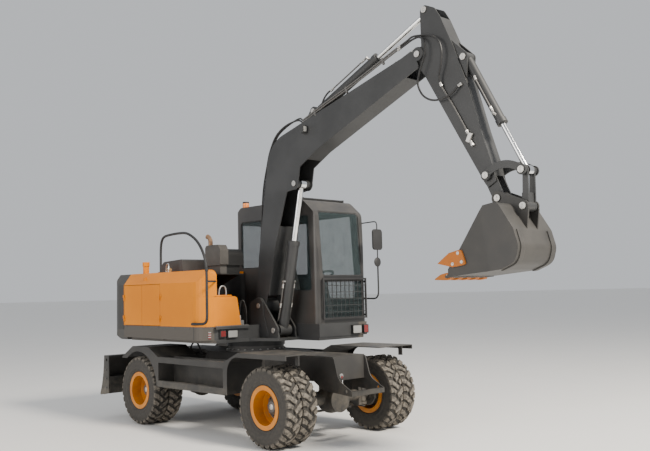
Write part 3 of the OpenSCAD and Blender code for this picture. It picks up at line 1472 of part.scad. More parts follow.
chassis();
fenders();
slew_ring();
front_axle();
rear_axle();
drive_line();
knuckle_left();
knuckle_right();
tie_rod();
hub_front_left();
hub_front_right();
hub_rear_left();
hub_rear_right();
rims_front_left();
rims_front_right();
rims_rear_left();
rims_rear_right();
tyres_front_left();
tyres_front_right();
tyres_rear_left();
tyres_rear_right();
blade();
blade_barrels();
blade_rods();
platform();
counterweight();
hood();
hood_door_rear();
hood_door_mid();
hood_door_left();
engine_block();
engine_lid();
exhaust();
filter_box();
fuel_tank();
handrail();
cab_shell();
cab_glass();
cab_door();
door_glass();
cab_inside();
cab_guards();
mirrors();
lamps();
boom();
ram_barrel();
ram_rod();
arm_barrel();
arm_rod();
stick();
dip_barrel();
dip_rod();
idler();
bucket_link();
bucket();
bucket_teeth();
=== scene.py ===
"""Looks of the wheeled excavator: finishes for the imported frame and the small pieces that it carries."""

import json
import math

import bpy
import numpy as np
from mathutils import Matrix, Vector


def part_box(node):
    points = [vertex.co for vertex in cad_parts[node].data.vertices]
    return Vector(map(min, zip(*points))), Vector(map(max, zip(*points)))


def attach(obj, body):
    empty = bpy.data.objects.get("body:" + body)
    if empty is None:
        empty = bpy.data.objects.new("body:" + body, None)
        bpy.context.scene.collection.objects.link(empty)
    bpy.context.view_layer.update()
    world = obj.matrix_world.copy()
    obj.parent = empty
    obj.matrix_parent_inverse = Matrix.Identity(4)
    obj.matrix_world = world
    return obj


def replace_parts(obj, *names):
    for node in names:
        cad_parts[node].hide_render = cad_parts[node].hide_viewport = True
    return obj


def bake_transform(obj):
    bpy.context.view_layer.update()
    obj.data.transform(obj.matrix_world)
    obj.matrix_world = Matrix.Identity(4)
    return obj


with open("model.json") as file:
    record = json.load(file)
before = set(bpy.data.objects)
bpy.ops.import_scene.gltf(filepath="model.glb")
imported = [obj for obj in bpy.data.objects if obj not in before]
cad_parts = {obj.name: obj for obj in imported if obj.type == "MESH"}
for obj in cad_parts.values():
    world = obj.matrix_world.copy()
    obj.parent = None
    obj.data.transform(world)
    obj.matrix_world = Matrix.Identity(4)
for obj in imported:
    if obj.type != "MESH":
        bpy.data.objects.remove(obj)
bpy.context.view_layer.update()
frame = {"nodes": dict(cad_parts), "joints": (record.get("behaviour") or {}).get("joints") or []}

# Places are in millimetres from the slewing axis at ground height
JOINTS = {joint["name"]: joint for joint in frame["joints"]}
AXIS = np.array([JOINTS["slew"]["pos_m"][0] * 1000, 0, 0])
# Sides of the machine by the sign of Y: name and outward axis
SIDES = {1: ("left", "y"), -1: ("right", "-y")}
STATIONS = ("front_left", "front_right", "rear_left", "rear_right")


def pin(name):
    """Place of a joint's pin in millimetres from the slewing axis."""
    return np.array(JOINTS[name]["pos_m"]) * 1000 - AXIS


def cad_span(node):
    """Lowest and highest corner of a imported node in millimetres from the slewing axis."""
    low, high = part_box(node)
    return np.array(low) * 1000 - AXIS, np.array(high) * 1000 - AXIS


def metres(places):
    """Places in millimetres from the slewing axis as the frame's own metres."""
    return (np.asarray(places, float) + AXIS) / 1000


# Shapes


class Shape:
    """Points in millimetres and groups of faces that have the same number of corners."""

    def __init__(self, points, faces):
        self.points = np.asarray(points, float).reshape(-1, 3)
        self.faces = [np.asarray(group, int) for group in faces if len(group)]

    def moved(self, offset):
        """Every point plus the offset."""
        return Shape(self.points + offset, self.faces)

    def spun(self, axis, degrees, centre=(0, 0, 0)):
        """Every point turned about an axis through the centre."""
        turn = np.array(Matrix.Rotation(math.radians(degrees), 3, Vector(axis)))
        return Shape((self.points - centre) @ turn.T + centre, self.faces)

    def mirrored(self):
        """The shape on the machine's other side, its faces turned round to point outwards."""
        return Shape(self.points * [1, -1, 1], [group[:, ::-1] for group in self.faces])

    def copies(self, places, frames=np.eye(3)):
        """One copy for each place, with its own axes: point = place + axes times the shape's point."""
        frames, places = np.asarray(frames, float), np.asarray(places, float)
        if frames.ndim == 2:
            frames = np.broadcast_to(frames, (len(places), 3, 3))
        points = np.einsum("kij,nj->kni", frames, self.points) + places[:, None, :]
        step = np.arange(len(places))[:, None, None] * len(self.points)
        return Shape(points, [(group[None] + step).reshape(-1, group.shape[1]) for group in self.faces])


def joined(*shapes):
    """Several shapes as one, their faces numbered on."""
    points, faces, first = [], [], 0
    for shape in shapes:
        points.append(shape.points)
        faces += [group + first for group in shape.faces]
        first += len(shape.points)
    return Shape(np.vstack(points), faces)


def both_sides(shape):
    """The shape and its mirror image."""
    return joined(shape, shape.mirrored())


def net(rings, columns, closed=False):
    """Four-cornered faces between rings of points; a closed net also joins the last ring to the first."""
    i = np.arange(rings if closed else rings - 1)[:, None]
    j = np.arange(columns)[None, :]
    i2, j2 = (i + 1) % rings, (j + 1) % columns
    corners = [i * columns + j, i * columns + j2, i2 * columns + j2, i2 * columns + j]
    return np.stack(np.broadcast_arrays(*corners), -1).reshape(-1, 4)


def skin(rings):
    """Surface through rings of points, with its two ends shut by flat faces."""
    rings = np.asarray(rings, float)
    count, around = rings.shape[:2]
    ends = [np.arange(around)[::-1][None], np.arange(around)[None] + (count - 1) * around]
    return Shape(rings, [net(count, around)] + ends)


def circle(radius, sides):
    """Points round a circle in the plane, counted leftwards."""
    angle = np.arange(sides) / sides * 2 * np.pi
    return radius * np.stack([np.cos(angle), np.sin(angle)], -1)


def ring_points(radius, sides):
    """Points round the Z axis."""
    return np.column_stack([circle(radius, sides), np.zeros(sides)])


def unit(rows):
    """Rows scaled to a length of 1."""
    return rows / np.linalg.norm(rows, axis=1)[:, None]


def turned(profile, sides=32, closed=False):
    """Profile of [radius, height] rows carried round the Z axis; a closed one is a ring, an open one is capped."""
    profile = np.asarray(profile, float)
    rings = profile[:, 0, None, None] * ring_points(1, sides) + profile[:, 1, None, None] * [0, 0, 1]
    if closed:
        return Shape(rings, [net(len(profile), sides, closed=True)])
    return skin(rings)


def smooth_path(knots, steps):
    """Curve through the knots, whose slope at a knot is half the way from the knot before to the one after."""
    knots = np.asarray(knots, float)
    ends = np.vstack([2 * knots[0] - knots[1], knots, 2 * knots[-1] - knots[-2]])
    t = (np.arange(steps) / steps)[None, :, None]
    a, b, c, d = (ends[k : k + len(knots) - 1, None] for k in range(4))
    curve = b + (c - a) / 2 * t + (a - 2.5 * b + 2 * c - d / 2) * t**2 + (1.5 * (b - c) + (d - a) / 2) * t**3
    return np.vstack([curve.reshape(-1, knots.shape[1]), knots[-1]])


def along(path, profile, roll=(0, 0, 1)):
    """Profile of [side, up] rows carried round a closed path; up stays as near to the roll direction as it can."""
    forward = unit(np.roll(path, -1, 0) - np.roll(path, 1, 0))
    side = unit(np.cross(forward, np.broadcast_to(np.asarray(roll, float), forward.shape)))
    up = np.cross(side, forward)
    rings = path[:, None] + profile[None, :, :1] * side[:, None] + profile[None, :, 1:] * up[:, None]
    return Shape(rings, [net(len(path), len(profile), closed=True)])


def pipe(knots, radius, steps=10, sides=10):
    """Round tube of a radius along the smooth curve through the knots."""
    path = smooth_path(knots, steps)
    forward = unit(np.gradient(path, axis=0))
    spare = np.eye(3)[np.argmin(np.abs(forward).max(0))]
    side = unit(np.cross(forward, spare))
    up = np.cross(side, forward)
    rows = circle(radius, sides)
    return skin(path[:, None] + rows[None, :, :1] * side[:, None] + rows[None, :, 1:] * up[:, None])


def inset(outline, by):
    """A closed outline of [x, y] rows with each side moved inwards by the distance."""
    ahead = unit(np.roll(outline, -1, 0) - outline)
    normal = np.stack([-ahead[:, 1], ahead[:, 0]], -1)
    back = np.roll(normal, 1, 0)
    middle = normal + back
    return outline + by * middle / (1 + (normal * back).sum(1))[:, None]


def slab(outline, low, high, bevel=2.0):
    """Plate over a closed outline (counted leftwards) from low to high, with its rims bevelled."""
    outline = np.asarray(outline, float)
    rim = inset(outline, bevel)
    levels = [(rim, low), (outline, low + bevel), (outline, high - bevel), (rim, high)]
    return skin([np.column_stack([ring, np.full(len(ring), z)]) for ring, z in levels])


def box_outline(width, height, corner=6.0, arc=4):
    """Rectangle about the origin with round corners, counted leftwards."""
    corner = min(corner, width / 2 - 0.1, height / 2 - 0.1)
    turn = (np.arange(4)[:, None] + np.linspace(0, 1, arc)[None]) * np.pi / 2
    ways = np.array([[1, 1], [-1, 1], [-1, -1], [1, -1]])[:, None]
    middle = ways * [width / 2 - corner, height / 2 - corner]
    return (middle + corner * np.stack([np.cos(turn), np.sin(turn)], -1)).reshape(-1, 2)


def block(low, high, bevel=3.0):
    """Box between two corners with bevelled edges."""
    low, high = np.asarray(low, float), np.asarray(high, float)
    size, middle = high - low, (high + low) / 2
    plate = slab(box_outline(size[0], size[1], bevel, 2), -size[2] / 2, size[2] / 2, min(bevel, size[2] / 3))
    return plate.moved(middle)


# A shape's own axes, as columns, when its Z axis is set along a machine axis
AXES = {
    "x": [[0, 0, 1], [1, 0, 0], [0, 1, 0]],
    "-x": [[0, 0, -1], [1, 0, 0], [0, -1, 0]],
    "y": [[0, 1, 0], [0, 0, 1], [1, 0, 0]],
    "-y": [[1, 0, 0], [0, 0, -1], [0, 1, 0]],
}


def hex_head(across, height):
    """Bolt head standing on Z: a washer, then a hexagon with its top corners turned off."""
    radius = across / 2 / math.cos(math.pi / 6)
    hexagon, washer = circle(radius, 6), radius * 1.35
    rings = [(hexagon, 0), (hexagon, height * 0.82), (hexagon * 0.84, height)]
    head = skin([np.column_stack([ring, np.full(6, z)]) for ring, z in rings])
    disc = turned([[washer, 0], [washer, 2.4], [radius * 1.02, 3.2]], 14)
    return joined(disc, head)


def bolt_circle(count, radius, across, height):
    """Bolt heads evenly round the Z axis."""
    return hex_head(across, height).copies(ring_points(radius, count))


def set_out(shape, axis, place):
    """The shape with its Z axis along a machine axis and its origin at the place."""
    return Shape(shape.points @ np.transpose(AXES[axis]) + place, shape.faces)


def fit(name, shape, finish, body=None, sharp=32.0):
    """Object with a finish, smooth where faces meet at less than the sharp angle, riding on a body if given."""
    mesh = bpy.data.meshes.new(name)
    totals = np.concatenate([np.full(len(group), group.shape[1]) for group in shape.faces])
    corners = np.concatenate([group.ravel() for group in shape.faces])
    mesh.vertices.add(len(shape.points))
    mesh.vertices.foreach_set("co", metres(shape.points).ravel())
    mesh.loops.add(len(corners))
    mesh.loops.foreach_set("vertex_index", corners.astype(np.int32))
    mesh.polygons.add(len(totals))
    mesh.polygons.foreach_set("loop_start", (np.cumsum(totals) - totals).astype(np.int32))
    mesh.polygons.foreach_set("use_smooth", np.ones(len(totals), bool))
    mesh.update(calc_edges=True)
    mesh.validate()
    mesh.set_sharp_from_angle(angle=math.radians(sharp))
    mesh.materials.append(finish)
    thing = bpy.data.objects.new(name, mesh)
    bpy.context.scene.collection.objects.link(thing)
    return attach(thing, body) if body else thing


# Finishes


def reckoned(operation, swapped=False):
    """Method that adds a Math node of the value and the others, or of the others and the value."""

    def method(self, *others):
        values = others + (self,) if swapped else (self,) + others
        return self.finish.node("Math", {"operation": operation}, dict(enumerate(values)))

    return method


class Value:
    """A shader socket that adds a Math node whenever it is reckoned with."""

    __add__ = __radd__ = reckoned("ADD")
    __sub__, __rsub__ = reckoned("SUBTRACT"), reckoned("SUBTRACT", swapped=True)
    __mul__ = __rmul__ = reckoned("MULTIPLY")
    __abs__, max = reckoned("ABSOLUTE"), reckoned("MAXIMUM")

    def __init__(self, finish, socket):
        self.finish, self.socket = finish, socket

    def rise(self, low, high):
        """0 below low, 1 above high and a smooth rise between them; high may be the lower number."""
        inputs = {0: self, 1: min(low, high), 2: max(low, high)}
        risen = self.finish.node("MapRange", {"interpolation_type": "SMOOTHSTEP"}, inputs)
        return 1 - risen if high < low else risen


class Finish:
    """One material: a Principled shader whose fixed sockets are set and whose varied ones are linked."""

    def __init__(self, name, **fixed):
        self.material = bpy.data.materials.new(name)
        self.material.use_nodes = True
        self.nodes, self.links = self.material.node_tree.nodes, self.material.node_tree.links
        self.shader = self.nodes["Principled BSDF"]
        for socket, value in fixed.items():
            self.shader.inputs[socket.replace("_", " ")].default_value = value
        self.place = self.node("TexCoord", {}, {}, "Object")

    def node(self, kind, settings, inputs, output=0):
        """Adds a shader node, sets its settings, then gives its sockets values or links."""
        made = self.nodes.new("ShaderNode" + kind)
        for key, value in settings.items():
            setattr(made, key, value)
        for key, value in inputs.items():
            if isinstance(value, Value):
                self.links.new(value.socket, made.inputs[key])
            else:
                made.inputs[key].default_value = value
        return Value(self, made.outputs[output])

    def noise(self, size, detail=3.0, rough=0.55, stretch=(1, 1, 1)):
        """Cloudy noise of 0 to 1 whose patches are about that size in metres."""
        where = self.node("Mapping", {}, {"Vector": self.place, "Scale": stretch})
        return self.node("TexNoise", {}, {"Vector": where, "Scale": 1 / size, "Detail": detail, "Roughness": rough})

    def cells(self, size):
        """Distance field of scattered cells about that size in metres."""
        return self.node("TexVoronoi", {}, {"Vector": self.place, "Scale": 1 / size}, "Distance")

    def axis(self, letter, source=None):
        """One coordinate of the place, or of another vector."""
        return self.node("SeparateXYZ", {}, {0: source or self.place}, letter)

    def mix(self, factor, first, second):
        """Colour from the first to the second by the factor."""
        settings = {"data_type": "RGBA", "clamp_factor": True}
        return self.node("Mix", settings, {0: factor, 6: first, 7: second}, 2)

    def upward(self):
        """1 on faces that look up, 0 on the others."""
        normal = self.node("TexCoord", {}, {}, "Normal")
        return self.axis("Z", normal).rise(0.25, 0.95)

    def edges(self, radius):
        """1 along worn edges within about the radius in metres, 0 on flat stretches."""
        round_normal = self.node("Bevel", {"samples": 4}, {"Radius": radius})
        flat_normal = self.node("NewGeometry", {}, {}, "Normal")
        likeness = self.node("VectorMath", {"operation": "DOT_PRODUCT"}, {0: round_normal, 1: flat_normal}, "Value")
        return likeness.rise(0.995, 0.90)

    def bump(self, height, distance, strength=1.0, bevel=0.0):
        """Normal from a height field; with a bevel its edges look rounded by that radius in metres."""
        inputs = {"Height": height, "Distance": distance, "Strength": strength}
        if bevel:
            inputs["Normal"] = self.node("Bevel", {"samples": 4}, {"Radius": bevel})
        return self.node("Bump", {}, inputs)

    def set(self, **varied):
        """Links the shader's varied sockets and returns the material."""
        for socket, value in varied.items():
            self.links.new(value.socket, self.shader.inputs[socket.replace("_", " ")])
        return self.material


def colour(red, green, blue):
    """Opaque colour from linear shares."""
    return (red, green, blue, 1.0)


def shade(tone, factor, lift=0.0):
    """A colour times a factor, plus a lift."""
    return colour(*(min(1, share * factor + lift) for share in tone[:3]))


DUST = colour(0.30, 0.26, 0.20)


def sheet_paint(name, base, worn, sheen=0.42, dust=0.35, coat=0.15, flank=None, nose=None):
    """Sprayed paint on steel: clouded tone, orange-peel bump, paler rubbed edges, dust on top faces and low down.

    A flank is the colour of the side skirts' outer faces. A nose is a box that is black: its rear, right, left,
    bottom and top in metres.
    """
    f = Finish(name, Coat_Weight=coat, Coat_Roughness=0.22, IOR=1.48)
    cloud, speck = f.noise(0.42, 4), f.noise(0.012, 2)
    tone = f.mix(cloud.rise(0.35, 0.7) * 0.5, base, worn)
    if flank:
        tone = f.mix(abs(f.axis("Y")).rise(0.875, 0.88), tone, flank)
    if nose:
        rear, right, left, bottom, top = nose
        across = f.axis("Y").rise(right, right + 0.004) * f.axis("Y").rise(left, left - 0.004)
        upright = f.axis("Z").rise(bottom, bottom + 0.004) * f.axis("Z").rise(top, top - 0.004)
        tone = f.mix(f.axis("X").rise(rear, rear + 0.004) * across * upright, tone, colour(0.009, 0.009, 0.009))
    rubbed = f.edges(0.006) * f.noise(0.05, 3).rise(0.42, 0.62)
    tone = f.mix(rubbed * 0.45, tone, worn)
    height = f.axis("Z")
    settled = (f.upward() * 0.5 + height.rise(0.9, 0.1)) * f.noise(0.16, 5, 0.65).rise(0.34, 0.72)
    tone = f.mix(settled * dust, tone, DUST)
    rough = sheen + cloud * 0.16 + settled * dust * 0.5 + speck * 0.05
    return f.set(Base_Color=tone, Roughness=rough, Normal=f.bump(speck, 0.0004, 0.35, 0.004))


def machine_paint():
    """Orange hood paint: faint clouds, thin dust on what looks up and streaks low down."""
    f = Finish("hood_paint", Coat_Weight=0.04, Coat_Roughness=0.2, IOR=1.3)
    cloud, peel = f.noise(0.6, 3), f.noise(0.006, 2)
    tone = f.mix(cloud.rise(0.3, 0.75), colour(0.64, 0.195, 0.0), colour(0.72, 0.230, 0.0))
    dusty = f.upward() * f.noise(0.09, 5, 0.7).rise(0.4, 0.75)
    tone = f.mix(dusty * 0.08, tone, DUST)
    streak = f.noise(0.05, 4, 0.6, (6, 6, 0.5)).rise(0.55, 0.8) * f.axis("Z").rise(1.75, 1.35)
    tone = f.mix(streak * 0.12, tone, colour(0.30, 0.13, 0.02))
    rough = 0.30 + dusty * 0.2 + cloud * 0.08
    return f.set(Base_Color=tone, Roughness=rough, Normal=f.bump(peel, 0.0003, 0.25, 0.005))


def rim_paint():
    """Orange wheel paint, chipped along its edges and dusty in patches."""
    f = Finish("rim_paint", Coat_Weight=0.1, IOR=1.48)
    cloud = f.noise(0.2, 4)
    tone = f.mix(cloud.rise(0.3, 0.7), colour(0.62, 0.215, 0.004), colour(0.52, 0.17, 0.004))
    dirt = f.noise(0.07, 5, 0.7).rise(0.46, 0.72)
    tone = f.mix(dirt * 0.4, tone, colour(0.22, 0.17, 0.11))
    chips = f.edges(0.005) * f.cells(0.02).rise(0.35, 0.15)
    tone = f.mix(chips * 0.7, tone, colour(0.09, 0.07, 0.06))
    return f.set(Base_Color=tone, Roughness=0.42 + dirt * 0.3, Normal=f.bump(f.noise(0.008, 2), 0.0004, 0.4, 0.003))


def tyre_rubber():
    """Black rubber with pale ground dust, most of it on the tread's outer faces."""
    f = Finish("tyre_rubber", IOR=1.5)
    grain, patch = f.noise(0.004, 2), f.noise(0.11, 5, 0.65)
    out = f.node("Attribute", {"attribute_name": "tread"}, {}, "Fac")
    tone = f.mix(patch, colour(0.020, 0.019, 0.018), colour(0.045, 0.042, 0.038))
    soil = (out * 0.85 + 0.12) * f.noise(0.035, 5, 0.7).rise(0.3, 0.68)
    tone = f.mix(soil * 0.75, tone, colour(0.27, 0.235, 0.19))
    height = grain * 0.3 + f.noise(0.02, 3)
    return f.set(Base_Color=tone, Roughness=0.72 + patch * 0.2, Normal=f.bump(height, 0.0012, 0.5))


def hose_rubber():
    """Braided hose: black rubber with a fine wrapped weave and grease that dulls its gloss."""
    f = Finish("hose_rubber", IOR=1.5)
    wrap = f.noise(0.003, 2)
    haze = f.noise(0.06, 4).rise(0.4, 0.7)
    tone = f.mix(haze * 0.5, colour(0.014, 0.014, 0.015), colour(0.045, 0.043, 0.040))
    return f.set(Base_Color=tone, Roughness=0.42 + haze * 0.25, Normal=f.bump(wrap, 0.0006, 0.6))


def moulded_plastic(name, base, size=0.0022, rough=0.55, split=None):
    """Moulded plastic or cast trim with a leathery grain and uneven fading.

    A split is a height and a distance from the middle plane: what lies below or inward of it is black. Below the
    split this is painted shadow under the part. Inward it is a darker inner part, with painted shade on it.
    """
    f = Finish(name, IOR=1.46)
    fade = f.noise(0.25, 3)
    tone = f.mix(fade.rise(0.35, 0.75) * 0.5, base, shade(base, 1.9, 0.012))
    if split:
        # Painted shade: black below the split height (shadow under the part) and inward of the split distance (a
        # darker part that also lies in shade)
        shade_and_dark_part = f.axis("Z").rise(split[0] + 0.002, split[0]).max(f.axis("Y").rise(-split[1] - 0.002, -split[1]))
        tone = f.mix(shade_and_dark_part, tone, colour(0.010, 0.010, 0.010))
    grain = f.cells(size)
    return f.set(Base_Color=tone, Roughness=rough + fade * 0.14, Normal=f.bump(grain, 0.0005, 0.35, 0.002))


def bare_steel(name, base, rough=0.34, metallic=0.95, rust=0.2):
    """Machined or zinc-plated steel with fine scratches and a little rust in patches."""
    f = Finish(name, IOR=2.2)
    scratch = f.noise(0.01, 3, 0.6, (1, 1, 9))
    spots = f.noise(0.03, 5, 0.7).rise(0.58, 0.74) * rust
    tone = f.mix(spots, f.mix(scratch, base, shade(base, 0.78)), colour(0.16, 0.07, 0.03))
    return f.set(
        Base_Color=tone, Roughness=rough + scratch * 0.18 + spots * 0.4, Metallic=metallic - spots * 0.6,
        Normal=f.bump(scratch, 0.0003, 0.3),
    )


def hard_chrome():
    """Ground and plated cylinder rod: mirror bright under a thin oil film."""
    f = Finish("rod_chrome", Metallic=1.0, IOR=2.6)
    film = f.noise(0.08, 3)
    tone = f.mix(film.rise(0.4, 0.8) * 0.5, colour(0.80, 0.81, 0.82), colour(0.60, 0.60, 0.59))
    return f.set(Base_Color=tone, Roughness=0.10 + film * 0.10, Normal=f.bump(f.noise(0.004, 2), 0.0001, 0.2))


def cab_pane():
    """Tinted safety glass: see-through and grey-green, with a faint haze in patches."""
    f = Finish("cab_pane", IOR=1.5, Base_Color=colour(0.045, 0.065, 0.068), Metallic=0.0)
    haze = f.noise(0.25, 4).rise(0.45, 0.8)
    return f.set(Roughness=0.05 + haze * 0.08, Alpha=0.30 + haze * 0.06)


def bucket_steel():
    """Painted digging steel, rubbed to a warm grey along its edges and in scratches."""
    f = Finish("bucket_steel", IOR=1.6, Coat_Weight=0.05)
    cloud, scratch = f.noise(0.3, 5), f.noise(0.02, 4, 0.7, (1, 9, 1))
    tone = f.mix(cloud.rise(0.3, 0.7), colour(0.022, 0.021, 0.020), colour(0.042, 0.039, 0.035))
    rub = f.edges(0.008).max(scratch.rise(0.6, 0.8)) * cloud.rise(0.4, 0.7)
    tone = f.mix(rub * 0.5, tone, colour(0.12, 0.11, 0.10))
    return f.set(Base_Color=tone, Roughness=0.5 + cloud * 0.2 - rub * 0.1, Normal=f.bump(scratch, 0.0006, 0.4, 0.005))


def lens(name, base):
    """Ribbed lamp lens."""
    f = Finish(name, IOR=1.49, Coat_Weight=0.8, Coat_Roughness=0.04)
    ribs = f.node("TexWave", {"bands_direction": "Z"}, {"Vector": f.place, "Scale": 42.0, "Distortion": 0.0})
    tone = f.mix(ribs * 0.5, base, shade(base, 0.55))
    return f.set(Base_Color=tone, Roughness=0.18 + ribs * 0.1, Normal=f.bump(ribs, 0.0012, 0.5))


def seat_cloth():
    """Woven seat cloth in dark grey."""
    f = Finish("seat_cloth", Sheen_Weight=0.3, IOR=1.45)
    weave = f.node("TexChecker", {}, {"Vector": f.place, "Scale": 260.0}, "Fac")
    tone = f.mix(weave * 0.5, colour(0.022, 0.023, 0.026), colour(0.055, 0.056, 0.060))
    return f.set(Base_Color=tone, Roughness=0.86 + f.noise(0.05) * 0.1, Normal=f.bump(weave, 0.0006, 0.4))


def pale_ground():
    """Plain pale floor with a faint mottling."""
    f = Finish("pale_ground", IOR=1.4)
    cloud = f.noise(1.6, 4)
    tone = f.mix(cloud, colour(0.80, 0.79, 0.77), colour(0.84, 0.83, 0.81))
    return f.set(Base_Color=tone, Roughness=0.75 + cloud * 0.1)


CHARCOAL_TONE, CHARCOAL_WORN = colour(0.026, 0.027, 0.028), colour(0.055, 0.056, 0.058)
CHARCOAL = sheet_paint("charcoal_paint", CHARCOAL_TONE, CHARCOAL_WORN)
CHASSIS = sheet_paint("chassis_paint", colour(0.026, 0.025, 0.024), colour(0.060, 0.056, 0.052), 0.5, 0.5)
FLOOR = sheet_paint("floor_paint", CHARCOAL_TONE, CHARCOAL_WORN, flank=colour(0.072, 0.062, 0.052))
TAIL = sheet_paint("tail_paint", colour(0.030, 0.029, 0.027), colour(0.050, 0.047, 0.043), 0.4, 0.25)
CAB = sheet_paint("cab_paint", colour(0.030, 0.028, 0.027), colour(0.060, 0.056, 0.052), 0.34, 0.25, 0.35,
                  nose=(1.0 + AXIS[0] / 1000, 0.262, 1.02, 1.27, 1.95))
ORANGE = machine_paint()
RIM = rim_paint()
TOOTH = sheet_paint("tooth_paint", colour(0.46, 0.125, 0.002), colour(0.34, 0.14, 0.03), 0.5, 0.15, 0.04)
RUBBER = tyre_rubber()
HOSE = hose_rubber()
BLACK = moulded_plastic("black_trim", colour(0.016, 0.016, 0.017))
COVER = moulded_plastic("grey_cover", colour(0.048, 0.047, 0.047), 0.004, 0.5)
# The filter cover's black bottom is painted shadow; its black inner drum is a darker part with painted shade
FILTER = moulded_plastic("filter_cover", colour(0.060, 0.055, 0.050), 0.004, 0.5, (2.003, 0.567))
STEEL = bare_steel("pin_steel", colour(0.62, 0.61, 0.59))
DARK_STEEL = bare_steel("dark_steel", colour(0.16, 0.155, 0.15), 0.5, 0.8, 0.5)
CHROME = hard_chrome()
PANE = cab_pane()
BUCKET = bucket_steel()
WHITE_LENS = lens("white_lens", colour(0.34, 0.34, 0.33))
RED_LENS = lens("red_lens", colour(0.20, 0.008, 0.007))
AMBER_LENS = lens("amber_lens", colour(0.85, 0.24, 0.02))
CLOTH = seat_cloth()
MIRROR = bare_steel("mirror_glass", colour(0.72, 0.75, 0.78), 0.03, 1.0, 0.0)
STACK = bare_steel("stack_steel", colour(0.34, 0.20, 0.11), 0.45, 0.7, 0.6)
ENGINE = bare_steel("engine_cast", colour(0.20, 0.20, 0.20), 0.6, 0.4, 0.3)

NODES_OF_FINISH = (
    (CHASSIS, "chassis fenders front_axle rear_axle drive_line knuckle_left knuckle_right blade blade_barrels"),
    (DARK_STEEL, "slew_ring tie_rod"),
    (CHROME, "blade_rods ram_rod arm_rod dip_rod"),
    (FLOOR, "platform"), (TAIL, "counterweight"), (ENGINE, "engine_block"), (COVER, "engine_lid"),
    (STACK, "exhaust"), (FILTER, "filter_box"), (BUCKET, "bucket"), (TOOTH, "bucket_teeth"),
    (ORANGE, "hood hood_door_rear hood_door_mid hood_door_left fuel_tank"),
    (BLACK, "handrail cab_inside cab_guards mirrors lamps"),
    (CAB, "cab_shell cab_door"),
    (PANE, "cab_glass door_glass"),
    (CHARCOAL, "boom ram_barrel arm_barrel stick dip_barrel idler bucket_link"),
)
NODE_FINISH = {name: finish for finish, names in NODES_OF_FINISH for name in names.split()}
for station in STATIONS:
    NODE_FINISH.update({"tyres_" + station: RUBBER, "rims_" + station: RIM, "hub_" + station: CHASSIS})
for name, node in frame["nodes"].items():
    node.data.materials.clear()
    node.data.materials.append(NODE_FINISH[name])


# Wheels

RIM_D = 498.0
BEAD_DEPTH = 43.0
TWIN_GAP = 13.0
TREAD_DEPTH = 26.0
LUG_PITCHES = 14
# Outlines of a long and a short tread lug: share of the pitch round the tyre, share of the half width across
LONG_LUG = np.array([(0, 1), (0.12, 0.60), (0.46, -0.22), (0.66, -0.02), (0.54, 0.35), (0.38, 0.70), (0.34, 1)])
SHORT_LUG = np.array([(0.50, 1), (0.58, 0.66), (0.74, 0.34), (0.90, 0.50), (0.82, 0.76), (0.84, 1)])


def crown(across, radius, half):
    """Tread radius at a distance from the middle: a slight square fall, then a steep one over the shoulder."""
    share = np.abs(across) / half
    return radius - 4 * share**2 - 26 * (np.clip(share - 0.74, 0, 1) / 0.26) ** 2


def lug(outline, side, radius, half):
    """One tread lug: its outline on the crown, wider at its foot, with a bevelled rim."""
    pitch = 2 * np.pi * radius / LUG_PITCHES
    flat = outline * [pitch, half * 0.985]
    if side < 0:
        flat = (flat * [1, -1])[::-1] + [pitch / 2, 0]
    rings = []
    for grow, depth in ((4, TREAD_DEPTH + 5), (0.5, 3), (-2.5, 0)):
        ring = inset(flat, -grow)
        ring[:, 1] = np.clip(ring[:, 1], -half, half)
        r = crown(ring[:, 1], radius, half) - depth
        rings.append(np.column_stack([r * np.cos(ring[:, 0] / radius), r * np.sin(ring[:, 0] / radius), ring[:, 1]]))
    return skin(rings)


def tyre(radius, half, bead, rim):
    """Tyre about the Z axis: a casing turned from its section, and lugs round it in four interlocking rows."""
    flank = np.array([
        [bead, half - 30.5], [rim + 2, half - 30.5], [rim + 9, half - 21], [rim + 15, half - 15],
        [rim + 20, half - 17], [rim + 42, half - 8], [rim + 50, half - 3], [rim + 55, half - 4],
        [rim + 100, half - 1], [rim + 104, half], [rim + 110, half - 1], [radius - 62, half - 2],
        [radius - TREAD_DEPTH - 14, half - 7], [radius - TREAD_DEPTH - 2, half - 26],
    ])
    casing = turned(np.vstack([flank * [1, -1], flank[::-1]]), 84, closed=True)
    one_pitch = joined(*[lug(shape, side, radius, half) for shape in (LONG_LUG, SHORT_LUG) for side in (1, -1)])
    angle = np.arange(LUG_PITCHES) / LUG_PITCHES * 2 * np.pi
    zero, one = np.zeros(LUG_PITCHES), np.ones(LUG_PITCHES)
    turns = np.array([[np.cos(angle), -np.sin(angle), zero], [np.sin(angle), np.cos(angle), zero], [zero, zero, one]])
    lugs = one_pitch.copies(np.zeros((LUG_PITCHES, 3)), turns.transpose(2, 0, 1))
    return joined(casing, lugs)


